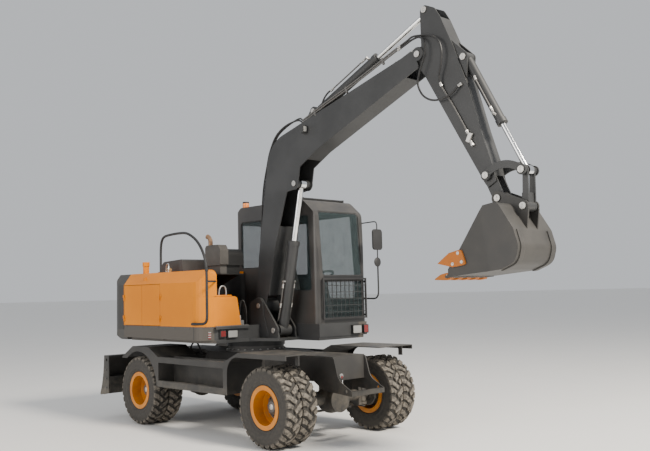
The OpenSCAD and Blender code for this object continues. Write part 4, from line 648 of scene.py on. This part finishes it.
def wheel_station(station, side):
    """The pair of tyres of one station, its wheel nuts, valve stem and hub cap."""
    body = "wheel_" + station
    centre = pin(body + "_spin")
    low, high = cad_span("tyres_" + station)
    centre[1] = (low[1] + high[1]) / 2
    radius = (high[2] - low[2]) / 2
    half = (high[1] - low[1] - TWIN_GAP) / 4
    one = tyre(radius, half, RIM_D / 2 - BEAD_DEPTH, RIM_D / 2)
    apart = half + TWIN_GAP / 2
    pair = joined(one.moved((0, 0, apart)), one.moved((0, 0, -apart)))
    reach = np.hypot(pair.points[:, 0], pair.points[:, 1])
    across = np.abs(np.abs(pair.points[:, 2]) - apart)
    worn = np.clip(1 - (crown(across, radius, half) - reach) / 12, 0, 1)
    tyres = fit("tyre_pair_" + station, set_out(pair, "y", centre), RUBBER, body)
    tyres.data.attributes.new("tread", "FLOAT", "POINT").data.foreach_set("value", worn.astype(np.float32))
    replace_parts(tyres, "tyres_" + station)
    out = SIDES[side][1]
    face = centre + [0, side * 23.3, 0]
    nuts = joined(bolt_circle(10, 121, 27, 20), turned([[58, 0], [62, 4], [62, 10], [40, 12]], 40).moved((0, 0, 61)))
    fit("wheel_nuts_" + station, set_out(nuts, out, face), DARK_STEEL, body)
    cap = turned([[30, -3], [33, 0], [33, 8], [26, 13], [10, 15]], 28)
    fit("hub_cap_" + station, set_out(cap, out, face + [0, side * 67, 0]), STEEL, body)
    stem = pipe([(196, 0, 60), (190, 0, 84), (176, 0, 100), (170, 0, 112)], 5, 6, 8)
    stem = joined(stem, turned([[8, 0], [8, 14], [6, 16]], 10).moved((170, 0, 112)))
    fit("valve_" + station, set_out(stem, out, face + [0, -side * 10, 0]), STEEL, body)


for station in STATIONS:
    wheel_station(station, 1 if station.endswith("left") else -1)


# Pins

# Pins that no joint's place gives, as x and z
RAM_EYE, ARM_EYE, LINK_TOP = (982.4, 3120.9), (3157.1, 4781.4), (4311.7, 2877.0)


def flat_pin(name):
    """A joint's pin as x and z."""
    return pin(name)[[0, 2]]


# Each pin's x and z, half its length, and the body that holds it
PIN_ENDS = {
    "boom_foot": (flat_pin("boom_lift"), 168, "upper"),
    "ram_foot": (flat_pin("ram_barrel_swing"), 168, "upper"),
    "ram_eye": (RAM_EYE, 129.5, "boom"),
    "boom_tip": (flat_pin("stick_swing"), 134, "stick"),
    "arm_foot": (flat_pin("arm_barrel_swing"), 91, "boom"),
    "arm_eye": (ARM_EYE, 99, "stick"),
    "dip_foot": (flat_pin("dip_barrel_swing"), 83, "stick"),
    "idler": (flat_pin("idler_swing"), 128, "stick"),
    "link_top": (LINK_TOP, 128, "idler"),
    "bucket_pin": (flat_pin("bucket_curl"), 109, "bucket"),
    "bucket_link_pin": (flat_pin("link_swing"), 109, "bucket"),
}


def pin_end(radius=36.0):
    """Bright pin end: a bevelled disc with a centre hollow and two small bolts."""
    disc = turned([[radius - 2, -4], [radius, -2], [radius, 3], [radius - 3, 5.5], [9, 5.5], [7, 3]], 36)
    bolts = hex_head(11, 5).copies([(0, 19, 5.4), (0, -19, 5.4)])
    return joined(disc, bolts)


for name, ((x, z), half, body) in PIN_ENDS.items():
    ends = [set_out(pin_end(), way, (x, side * half, z)) for way, side in (("y", 1), ("-y", -1))]
    fit("pin_ends_" + name, joined(*ends), STEEL, body)


# Hoses and pipes

HOSE_R = 11.0


def ferrule(place, toward, radius=16.0, length=46.0):
    """Crimped hose end: a ribbed sleeve and a hexagon, pointing from the place toward another."""
    place, toward = np.asarray(place, float), np.asarray(toward, float)
    z = (toward - place) / np.linalg.norm(toward - place)
    x = np.cross(z, np.eye(3)[np.argmin(np.abs(z))])
    x /= np.linalg.norm(x)
    axes = np.column_stack([x, np.cross(z, x), z])
    rib = np.array([[radius, 0], [radius, 0.10], [radius * 0.86, 0.13], [radius, 0.16]])
    ribs = np.vstack([rib + [0, 0.18 * k] for k in range(3)]) * [1, length]
    profile = np.vstack([[[radius * 0.7, -0.02 * length]], ribs, [[radius * 0.8, 0.55 * length]]])
    nut = turned([[radius * 1.1, 0], [radius * 1.1, length * 0.4]], 6).moved((0, 0, length * 0.55))
    return joined(turned(profile, 14), nut).copies([place], axes)


# Pipes along the boom's back, two in a stack on each side: sides and lifts, then their course as x and z
BOOM_PIPE_Y, BOOM_PIPE_LIFTS = 118, (0, 27)
BOOM_PIPES = [(y, lift) for y in (-BOOM_PIPE_Y, BOOM_PIPE_Y) for lift in BOOM_PIPE_LIFTS]
BOOM_LINES = [(1170, 3872), (1540, 4000), (2107, 4176), (2720, 4392), (2790, 4412)]
boom_pipes = [pipe([(x, y, z + lift) for x, z in BOOM_LINES], 10, 8) for y, lift in BOOM_PIPES]
clamps = [
    block((x - 14, y - 13, z - 40), (x + 14, y + 13, z + 43), 4).spun((0, 1, 0), -19, (x, 0, z))
    for x, z in ((1400, 3951), (1960, 4126), (2560, 4336)) for y in (-BOOM_PIPE_Y, BOOM_PIPE_Y)
]
fit("boom_pipes", joined(*boom_pipes), DARK_STEEL, "boom")
fit("boom_clamps", joined(*clamps), DARK_STEEL, "boom")
ends = [ferrule((2790, y, 4412 + lift), (2910, y, 4447 + lift), 14) for y, lift in BOOM_PIPES]
fit("boom_line_ends", joined(*ends), STEEL, "boom")

foot_hoses = [
    [(1170, -BOOM_PIPE_Y, 3872 + lift), (1060, y, 3915 + lift), (830, y, 3885), (640, y - 6, 3780), (505, y, 3600),
     (440, y, 3420), (360, y, 3150), (318, y, 2850), (290, y, 2500), (262, y, 2150), (230, y * 0.9, 1900),
     (150, y * 0.6, 1720), (60, y * 0.5, 1600), (10, y * 0.5, 1470)]
    for y, lift in zip((-112, -84), BOOM_PIPE_LIFTS)
]
fit("boom_foot_hoses", joined(*[pipe(route, HOSE_R, 8) for route in foot_hoses]), HOSE, "boom")

# Loops over the stick's joint, each from the boom's lines to a fitting on the stick
STICK_LOOPS = {
    "outer": [(2830, -118, 4424), (2930, -119, 4455), (3010, -121, 4478), (3110, -125, 4478), (3195, -150, 4400),
              (3190, -160, 4230), (3125, -160, 4085), (3096, -160, 3957), (3150, -155, 3830), (3255, -148, 3755),
              (3381, -140, 3738), (3515, -130, 3772), (3600, -118, 3838)],
    "inner": [(2830, -118, 4451), (2930, -118, 4484), (3010, -119, 4510), (3120, -110, 4500), (3250, -140, 4465),
              (3372, -148, 4388), (3420, -146, 4261), (3405, -142, 4121), (3368, -134, 4007), (3366, -118, 3915)],
    "left": [(2830, 118, 4424), (2930, 119, 4455), (3010, 121, 4480), (3120, 128, 4494), (3235, 146, 4440),
             (3318, 148, 4320), (3360, 144, 4180), (3372, 134, 4040), (3390, 118, 3900)],
}
for name, route in STICK_LOOPS.items():
    loop = fit("stick_loop_" + name, pipe(route, HOSE_R), HOSE)
    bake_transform(loop)

STICK_PIPE = [(3366, -112, 3900), (3416, -106, 3814), (3523, -106, 3640), (3640, -106, 3430), (3700, -106, 3320)]
fit("stick_pipe", pipe(STICK_PIPE, 9, 6), DARK_STEEL, "stick")
valves = [
    block((3688, -124, 3230), (3736, -92, 3330), 4).spun((0, 1, 0), 28, (3712, 0, 3280)),
    ferrule((3724, -108, 3240), (3752, -108, 3190), 17, 60), ferrule((3700, -108, 3320), (3660, -108, 3395)),
    ferrule((3366, -116, 3920), (3404, -110, 3838)), ferrule((3600, -118, 3838), (3660, -96, 3880)),
]
fit("stick_valves", joined(*valves), STEEL, "stick")


# Tubes and hoses along the cylinders


def in_line(foot, eye, rows):
    """Rows of [distance from the foot, side, height over the axis] along a cylinder, as places."""
    ahead = (eye - foot) / np.linalg.norm(eye - foot)
    rows = np.asarray(rows, float)
    flat = foot + rows[:, :1] * ahead + rows[:, 2:] * [-ahead[1], ahead[0]]
    return np.column_stack([flat[:, 0], rows[:, 1], flat[:, 1]])


def cylinder_line(name, eye, rows, radius, couplings, sides=(1,)):
    """Steel tube along a cylinder's barrel with fittings between pairs of its rows, on one side or on both."""
    places = in_line(flat_pin(name + "_barrel_swing"), eye, rows)
    tubes = [pipe(places * [1, side, 1], radius, 6) for side in sides]
    ends = [
        ferrule(places[a] * [1, side, 1], places[b] * [1, side, 1], radius + 5, 58)
        for side in sides for a, b in couplings
    ]
    fit(name + "_tube", joined(*tubes), DARK_STEEL, name + "_barrel")
    fit(name + "_fittings", joined(*ends), STEEL, name + "_barrel")


RAM_TUBE = [(640, 50, 0), (640, 84, 0), (610, 92, 0), (540, 92, 0), (440, 92, 0), (300, 92, 0), (150, 91, 12),
            (105, 84, 40)]
ARM_TUBE = [(1030, -20, 50), (1030, -44, 62), (1000, -60, 66), (700, -60, 66), (420, -60, 66), (360, -60, 62)]
DIP_TUBE = [(760, -40, 0), (752, -58, 0), (720, -66, 0), (420, -66, 0), (300, -66, 0), (262, -58, 0), (252, -40, 0)]
cylinder_line("ram", RAM_EYE, RAM_TUBE, 8, [(2, 3), (5, 4), (0, 1)], (1, -1))
cylinder_line("arm", ARM_EYE, ARM_TUBE, 9, [(0, 1), (5, 4), (2, 3)])
cylinder_line("dip", LINK_TOP, DIP_TUBE, 8, [(0, 1), (5, 4), (2, 3)])
ARM_HOSE = [(1664, -60, 4200), (1590, -66, 4178), (1530, -82, 4110), (1500, -92, 4030), (1540, -98, 3996)]
arm_hose = pipe(ARM_HOSE, HOSE_R, 8)
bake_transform(fit("arm_hose", arm_hose, HOSE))

CHASSIS_LOOP = [(-980, -262, 925), (-978, -370, 947), (-960, -400, 1015), (-915, -400, 1070), (-855, -400, 1089),
                (-795, -400, 1070), (-750, -400, 1015), (-732, -370, 947), (-730, -262, 925)]
fit("chassis_hose", pipe(CHASSIS_LOOP, 12), HOSE, "chassis")

# Valve bay between the hood's front cheek and the boom
VALVE_LOW, VALVE_HIGH = (-330, -430, 1172), (40, -225, 1395)
valve_block = joined(block(VALVE_LOW, VALVE_HIGH, 6), block((-300, -452, 1230), (10, -428, 1345), 4))
fit("valve_block", valve_block, ENGINE, "upper")
spool = joined(turned([[16, 0], [16, 60], [11, 66]], 16), turned([[20, 0], [20, 14]], 6).moved((0, 0, 20)))
spool_places = [(x, y, VALVE_HIGH[2]) for x in range(-295, 30, 50) for y in (-385, -270)]
fit("valve_spools", spool.copies(spool_places), STEEL, "upper")
bay_hoses = [
    pipe([(x, -270, 1440), (x + 3, -269, 1520), (x + 22, -256, 1588 + 14 * k), (x + 46, -232, 1606 + 14 * k),
          (x + 66, -212, 1560), (x + 72, -205, 1440), (x + 72, -205, 1180)], HOSE_R, 8)
    for k, x in enumerate((-245, -145, -45, -10))
]
fit("bay_hoses", joined(*bay_hoses), HOSE, "upper")
LATCH = [(246, -668, 1714), (246, -668, 1790), (248, -690, 1838), (248, -738, 1842), (248, -770, 1800),
         (248, -782, 1714)]
tank_cap = turned([[36, -2], [36, 14], [30, 18]], 24).moved((170, -725, 1715))
fit("tank_latch", joined(pipe(LATCH, 9, 6), tank_cap), STEEL, "upper")
TANK_RIM = [(96, -1004), (150, -996), (224, -930), (262, -860), (282, -760), (286, -606), (236, -606), (230, -800),
            (190, -900), (96, -940)]
fit("tank_rim", slab(TANK_RIM, 1715, 1733, 4), ORANGE, "upper")


# Window rubbers, lamps, mirrors and the cab's fittings


def panes(node):
    """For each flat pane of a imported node, its rim in order round its middle, and its normal."""
    mesh, place = frame["nodes"][node].data, frame["nodes"][node].matrix_world
    corners = np.array([place @ vertex.co for vertex in mesh.vertices]) * 1000 - AXIS
    points, shared = np.unique(corners.round(1), axis=0, return_inverse=True)
    ends = shared.ravel()[np.array([edge.vertices for edge in mesh.edges])]
    label = np.arange(len(points))
    for _ in range(len(points)):
        least = np.minimum(label[ends[:, 0]], label[ends[:, 1]])
        fresh = label.copy()
        np.minimum.at(fresh, ends[:, 0], least)
        np.minimum.at(fresh, ends[:, 1], least)
        if (fresh == label).all():
            break
        label = fresh
    for value in np.unique(label):
        pane = points[label == value]
        middle = pane.mean(0)
        across, upward, normal = np.linalg.svd(pane - middle, full_matrices=False)[2]
        front = pane[(pane - middle) @ normal > 0]
        angle = np.arctan2((front - middle) @ upward, (front - middle) @ across)
        ring = front[np.argsort(angle)]
        apart = np.linalg.norm(ring - np.roll(ring, 1, 0), axis=1) > 4
        yield ring[apart], normal if np.cross(across, upward) @ normal > 0 else -normal


def window_rubber(node, body):
    """Black rubber strip over the rim of each pane of a node."""
    section = box_outline(26, 24, 5, 3)
    strips = [along(ring, section, normal) for ring, normal in panes(node) if len(ring) > 3]
    fit(node + "_rubber", joined(*strips), BLACK, body)


window_rubber("cab_glass", "upper")
window_rubber("door_glass", "cab_door")

# Lamps: middle of the front face, width, height, glass
LAMPS = {
    "left_white": ((1114, 815, 1244), 164, 112, WHITE_LENS), "left_red": ((1110, 985, 1244), 90, 112, RED_LENS),
    "right_white": ((334, -632, 1240), 158, 100, WHITE_LENS), "right_red": ((330, -777, 1247), 89, 86, RED_LENS),
    "boom": ((1256, -165, 3770), 66, 82, WHITE_LENS),
}
for name, (place, width, height, glass) in LAMPS.items():
    body = "boom" if name == "boom" else "upper"
    face = slab(box_outline(width - 14, height - 14, 10, 5), -2, 6, 3)
    fit("lens_" + name, set_out(face, "x", place), glass, body)
    rim = box_outline(width - 8, height - 8, 12, 5)
    bezel = along(np.column_stack([rim, np.zeros(len(rim))]), box_outline(10, 12, 3, 2))
    fit("bezel_" + name, set_out(bezel, "x", place), BLACK, body)
beacon = turned([[46.5, 6], [47.5, 10], [47.5, 62], [42, 80], [24, 91], [6, 93]]).moved((-510, 252, 2960))
fit("beacon_glass", beacon, AMBER_LENS, "upper")
white_marker = turned([[30, 0], [30, 10], [24, 15], [8, 17]], 28)
red_marker = turned([[17, 14], [17, 19], [12, 21]], 24)
fit("front_marker", set_out(white_marker, "x", (1765, -135, 756)), WHITE_LENS, "chassis")
fit("front_marker_red", set_out(red_marker, "x", (1765, -135, 744)), RED_LENS, "chassis")

# Reflecting strip on the skirt's round corner, in three pairs of bands
STRIP_TURN, STRIP_R, STRIP_LOW, BAND_PITCH = -36.3, 251.0, 1195, 14.5
SKIRT_CORNER = (50, -780, 0)
band = slab(box_outline(34, 14, 1, 2), 0, 2.5, 0.8)
for name, glass, first in (("red", RED_LENS, 0), ("white", WHITE_LENS, 1)):
    bands = joined(*[set_out(band, "x", (STRIP_R, 0, STRIP_LOW + BAND_PITCH * k)) for k in range(first, 6, 2)])
    fit("strip_" + name, bands.spun((0, 0, 1), STRIP_TURN).moved(SKIRT_CORNER), glass, "upper")

# Mirrors: the main one and the round one below it, each turned to the rear
MIRROR_AT, SPOT_AT = (1288, 1039, 2418.5), (1294, 1038, 2120)
mirror_face = set_out(slab(box_outline(158, 248, 26, 6), 0, 4, 2), "-x", MIRROR_AT)
spot_face = set_out(turned([[52, 0], [50, 5], [30, 10], [10, 12]], 36), "-x", SPOT_AT)
fit("mirror_faces", joined(mirror_face, spot_face), MIRROR, "upper")

MIRROR_ARM = [(976, 1066, 1640), (978, 1077, 1640), (1100, 1066, 1640), (1225, 1053, 1641), (1278, 1046, 1668),
              (1304, 1039, 1730), (1306, 1038, 1960), (1306, 1038, 2120)]
MIRROR_HANGER = [(1306, 1038, 2120), (1306, 1038, 2560), (1302, 1039, 2620), (1262, 1048, 2660), (1100, 1063, 2661),
                 (930, 1078, 2660), (928, 1066, 2660)]
housing = set_out(slab(box_outline(182, 275, 42, 8), 0, 34, 9), "x", MIRROR_AT)
spot = set_out(turned([[50, 0], [60, 3], [63, 10], [52, 19], [20, 24]], 40), "x", SPOT_AT)
mirrors = joined(pipe(MIRROR_ARM, 11, 6, 12), pipe(MIRROR_HANGER, 8, 6, 12), housing, spot)
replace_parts(fit("mirror_set", mirrors, BLACK, "upper"), "mirrors")

HANDLE = [(900, 1050, 1560), (900, 1074, 1566), (900, 1080, 1640), (900, 1074, 1714), (900, 1050, 1720)]
fit("door_handle", pipe(HANDLE, 8, 6), BLACK, "cab_door")
fit("door_lock", set_out(turned([[20, 0], [20, 6], [15, 8]], 24), "y", (900, 1049, 1500)), STEEL, "cab_door")
seat = joined(
    block((-60, -215, 330), (300, 215, 378), 24),
    block((-40, -242, 318), (290, -205, 362), 14), block((-40, 205, 318), (290, 242, 362), 14),
    block((-36, -205, 0), (36, 205, 560), 24).spun((0, 1, 0), -17).moved((-60, 0, 380)),
    block((-30, -120, 0), (30, 120, 150), 22).spun((0, 1, 0), -14).moved((-240, 0, 985)),
)
fit("seat_cushions", seat.moved((0, 611, 1384)), CLOTH, "upper")

# Handrail, masts and exhaust

RAIL_R, RAIL_Y = 17.0, -1047.3
RAIL = [(-1027, -837, 2056), (-1025, -838, 2200), (-1020, -839, 2380), (-985, -844, 2490), (-905, -855, 2541),
        (-760, -872, 2556), (-500, -902, 2560), (-254, -934, 2546), (-60, -967, 2490), (110, -1000, 2408),
        (250, -1026, 2292), (342, -1042, 2150), (371, RAIL_Y, 2010), (372, RAIL_Y, 1860), (372, RAIL_Y, 1640),
        (371, RAIL_Y, 1470), (352, RAIL_Y, 1412), (300, RAIL_Y, 1385), (200, RAIL_Y, 1378), (40, RAIL_Y, 1376)]
BRACE = [(285.1, -865.6, 1905), (308, -874, 1905), (344, -905, 1905), (364, -960, 1905), (371, -1040, 1905)]
rail_foot = turned([[40, 0], [40, 6], [34, 10], [19, 12]]).moved((-1027, -837, 2055.3))
rail_pad = block((36, -1044, 1358), (96, -1030.3, 1394), 3)
rail_joint = turned([[18, 0], [21, 2], [21, 42], [18, 44]], 24).moved((372, RAIL_Y, 2030))
rail = joined(pipe(RAIL, RAIL_R, 6, 16), pipe(BRACE, 12, 6, 12), rail_foot, rail_joint, rail_pad)
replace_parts(fit("grab_rail", rail, BLACK, "upper"), "handrail")

# Plates that double the boom's masts outside, as x and z
MAST = [(68, 1168), (480, 1168), (372, 1500), (366, 1620), (322, 1676), (270, 1688), (200, 1664), (110, 1628),
        (68, 1600)]
MAST_Y, MAST_T = 159.5, 9
mast = slab(MAST, 0, MAST_T, 2)
mast = Shape(mast.points[:, [0, 2, 1]] * [1, -1, 1] - [0, MAST_Y, 0], mast.faces)
fit("mast_doublers", both_sides(mast), CHARCOAL, "upper")
# Black sheet at the engine's front wall: painted shade for the deep shadow in the valve bay
fit("bay_shade_sheet", block((-454, -836, 1175), (-446, 214, 2020), 3), BLACK, "upper")
mouth, hole = turned([[34, -4], [37, 0], [37, 12], [34, 15], [30, 15], [29, 9]]), turned([[29, 9], [29, 10.5]])
MOUTH_AT, MOUTH_LEAN = (-1406.7, 215, 2606.9), -75
fit("stack_mouth", mouth.spun((0, 1, 0), MOUTH_LEAN).moved(MOUTH_AT), STACK, "upper")
# Black disc just inside the stack's mouth: painted shade for the dark inside of the open pipe
fit("stack_hole_shade", hole.spun((0, 1, 0), MOUTH_LEAN).moved(MOUTH_AT), BLACK, "upper")
fit("skirt_seam", block((46, -1031.4, 1176), (53, -1028, 1334), 1), BLACK, "upper")

# Bolts and small fastenings


def bolts_at(name, places, axis, body, across, finish):
    """Bolt heads at places, standing along an axis."""
    head = set_out(hex_head(across, across * 0.45), axis, (0, 0, 0))
    fit(name, head.copies(places), finish, body)


fit("ring_bolts", bolt_circle(24, 384, 19, 10).moved((0, 0, 1013)), STEEL, "chassis")
bucket_x, bucket_z = flat_pin("bucket_curl")
for side, (hand, way) in SIDES.items():
    blade_bolts = [(-2180, side * 1050, z) for z in (430, 560, 690)]
    skirt_bolts = [(x, side * 1030, 1318) for x in (-1600, -1200, -800, -400, -60)]
    cutter_bolts = [
        (bucket_x + x, side * 355.3, bucket_z + z) for x, z in ((-319, -534), (-276, -622), (-388, -640))
    ]
    bolts_at("blade_bolts_" + hand, blade_bolts, way, "blade", 26, DARK_STEEL)
    bolts_at("skirt_bolts_" + hand, skirt_bolts, way, "upper", 14, DARK_STEEL)
    bolts_at("cutter_bolts_" + hand, cutter_bolts, way, "bucket", 22, STEEL)
TOOTH_PITCH = 142.5
tooth_pin = turned([[9, -40], [11, -38], [11, 38], [9, 40]], 16)
tooth_places = [(bucket_x - 490, TOOTH_PITCH * k, bucket_z - 752) for k in range(-2, 3)]
fit("tooth_pins", joined(*[set_out(tooth_pin, "y", place) for place in tooth_places]), STEEL, "bucket")
grip = skin([
    [(-6, -13, 0), (6, -13, 0), (6, 13, 0), (-6, 13, 0)], [(-4, -7, 11), (4, -7, 11), (4, 7, 11), (-4, 7, 11)],
])
ledge_teeth = [(x, y, 1337) for x in (308, 332) for y in range(-870, -370, 34)]
step_teeth = [(x, y, 558) for x in range(-730, 690, 42) for y in (842, 900, 960)]
fit("ledge_grip", grip.copies(ledge_teeth), DARK_STEEL, "upper")
fit("step_grip", both_sides(grip.copies(step_teeth)), DARK_STEEL, "chassis")

BRASS = sheet_paint("filler_brass", colour(0.42, 0.26, 0.10), colour(0.5, 0.36, 0.2))
filler = joined(turned([[34, -2], [34, 26], [40, 30], [40, 52], [30, 60]], 28), block((-46, -7, 52), (46, 7, 66), 4))
fit("hood_filler", filler.moved((-1040, -700, 2055)), BRASS, "upper")
BREATHER = [(-1120, -690, 2055), (-1122, -690, 2120), (-1090, -700, 2168), (-1020, -720, 2176), (-985, -740, 2120),
            (-985, -745, 2055)]
fit("hood_breather", pipe(BREATHER, 10, 8), STEEL, "upper")
stack_band = turned([[36, 0], [37.5, 3], [37.5, 23], [36, 26]])
fit("stack_bands", joined(*[stack_band.moved((-1340, 215, z)) for z in (2240, 2440)]), STEEL, "upper")
tail_top = cad_span("counterweight")[1][2]
plug = turned([[30, -2], [30, 8], [22, 12], [22, 20], [12, 24]], 6)
fit("tail_plugs", joined(*[plug.moved((-1900, y, tail_top)) for y in (-560, 560)]), STEEL, "upper")


# Camera, floor and light


def camera():
    """The photograph's viewpoint: a place, a heading, a slight upward tilt and a slight roll."""
    data = bpy.data.cameras.new("camera")
    data.sensor_width, data.lens = 36.0, 44.38
    data.clip_start, data.clip_end = 0.1, 900.0
    eye = bpy.data.objects.new("camera", data)
    right = Vector((0.68239, 0.73062, -0.02307))
    up = Vector((0.07593, -0.03947, 0.99633))
    back = right.cross(up)
    turn = Matrix((right, up, back)).transposed().to_4x4()
    eye.matrix_world = Matrix.Translation((7.582, -6.736, 1.743)) @ turn
    bpy.context.scene.collection.objects.link(eye)
    bpy.context.scene.camera = eye


def floor(reach=400000.0, sides=96):
    """Flat disc of ground, so wide that its rim lies at the horizon."""
    ground = Shape(ring_points(reach, sides), [np.arange(sides)[None]])
    fit("ground", ground.moved((0, 0, -0.5)), pale_ground(), sharp=80)


def area_light(name, place, aim, size, power, tint):
    """Square soft light at a place, facing its aim."""
    data = bpy.data.lights.new(name, "AREA")
    data.shape, data.size, data.energy, data.color = "SQUARE", size, power, tint
    lamp = bpy.data.objects.new(name, data)
    lamp.location = place
    lamp.rotation_euler = (Vector(aim) - Vector(place)).to_track_quat("-Z", "Y").to_euler()
    bpy.context.scene.collection.objects.link(lamp)


def studio():
    """Soft sky all round, a warm key from the front and high up, and a large low fill on the camera's side."""
    world = bpy.data.worlds.new("sky")
    world.use_nodes = True
    sky = world.node_tree.nodes["Background"].inputs
    sky["Color"].default_value, sky["Strength"].default_value = (0.93, 0.96, 1.0, 1.0), 0.66
    bpy.context.scene.world = world
    area_light("key", (13.0, 1.0, 12.0), (0.0, 0, 1.8), 3.0, 5000, (1.0, 0.93, 0.82))
    area_light("fill", (-2.0, -12.0, 5.0), (-1.0, 0, 1.5), 7.0, 620, (1.0, 0.95, 0.88))


camera()
floor()
studio()
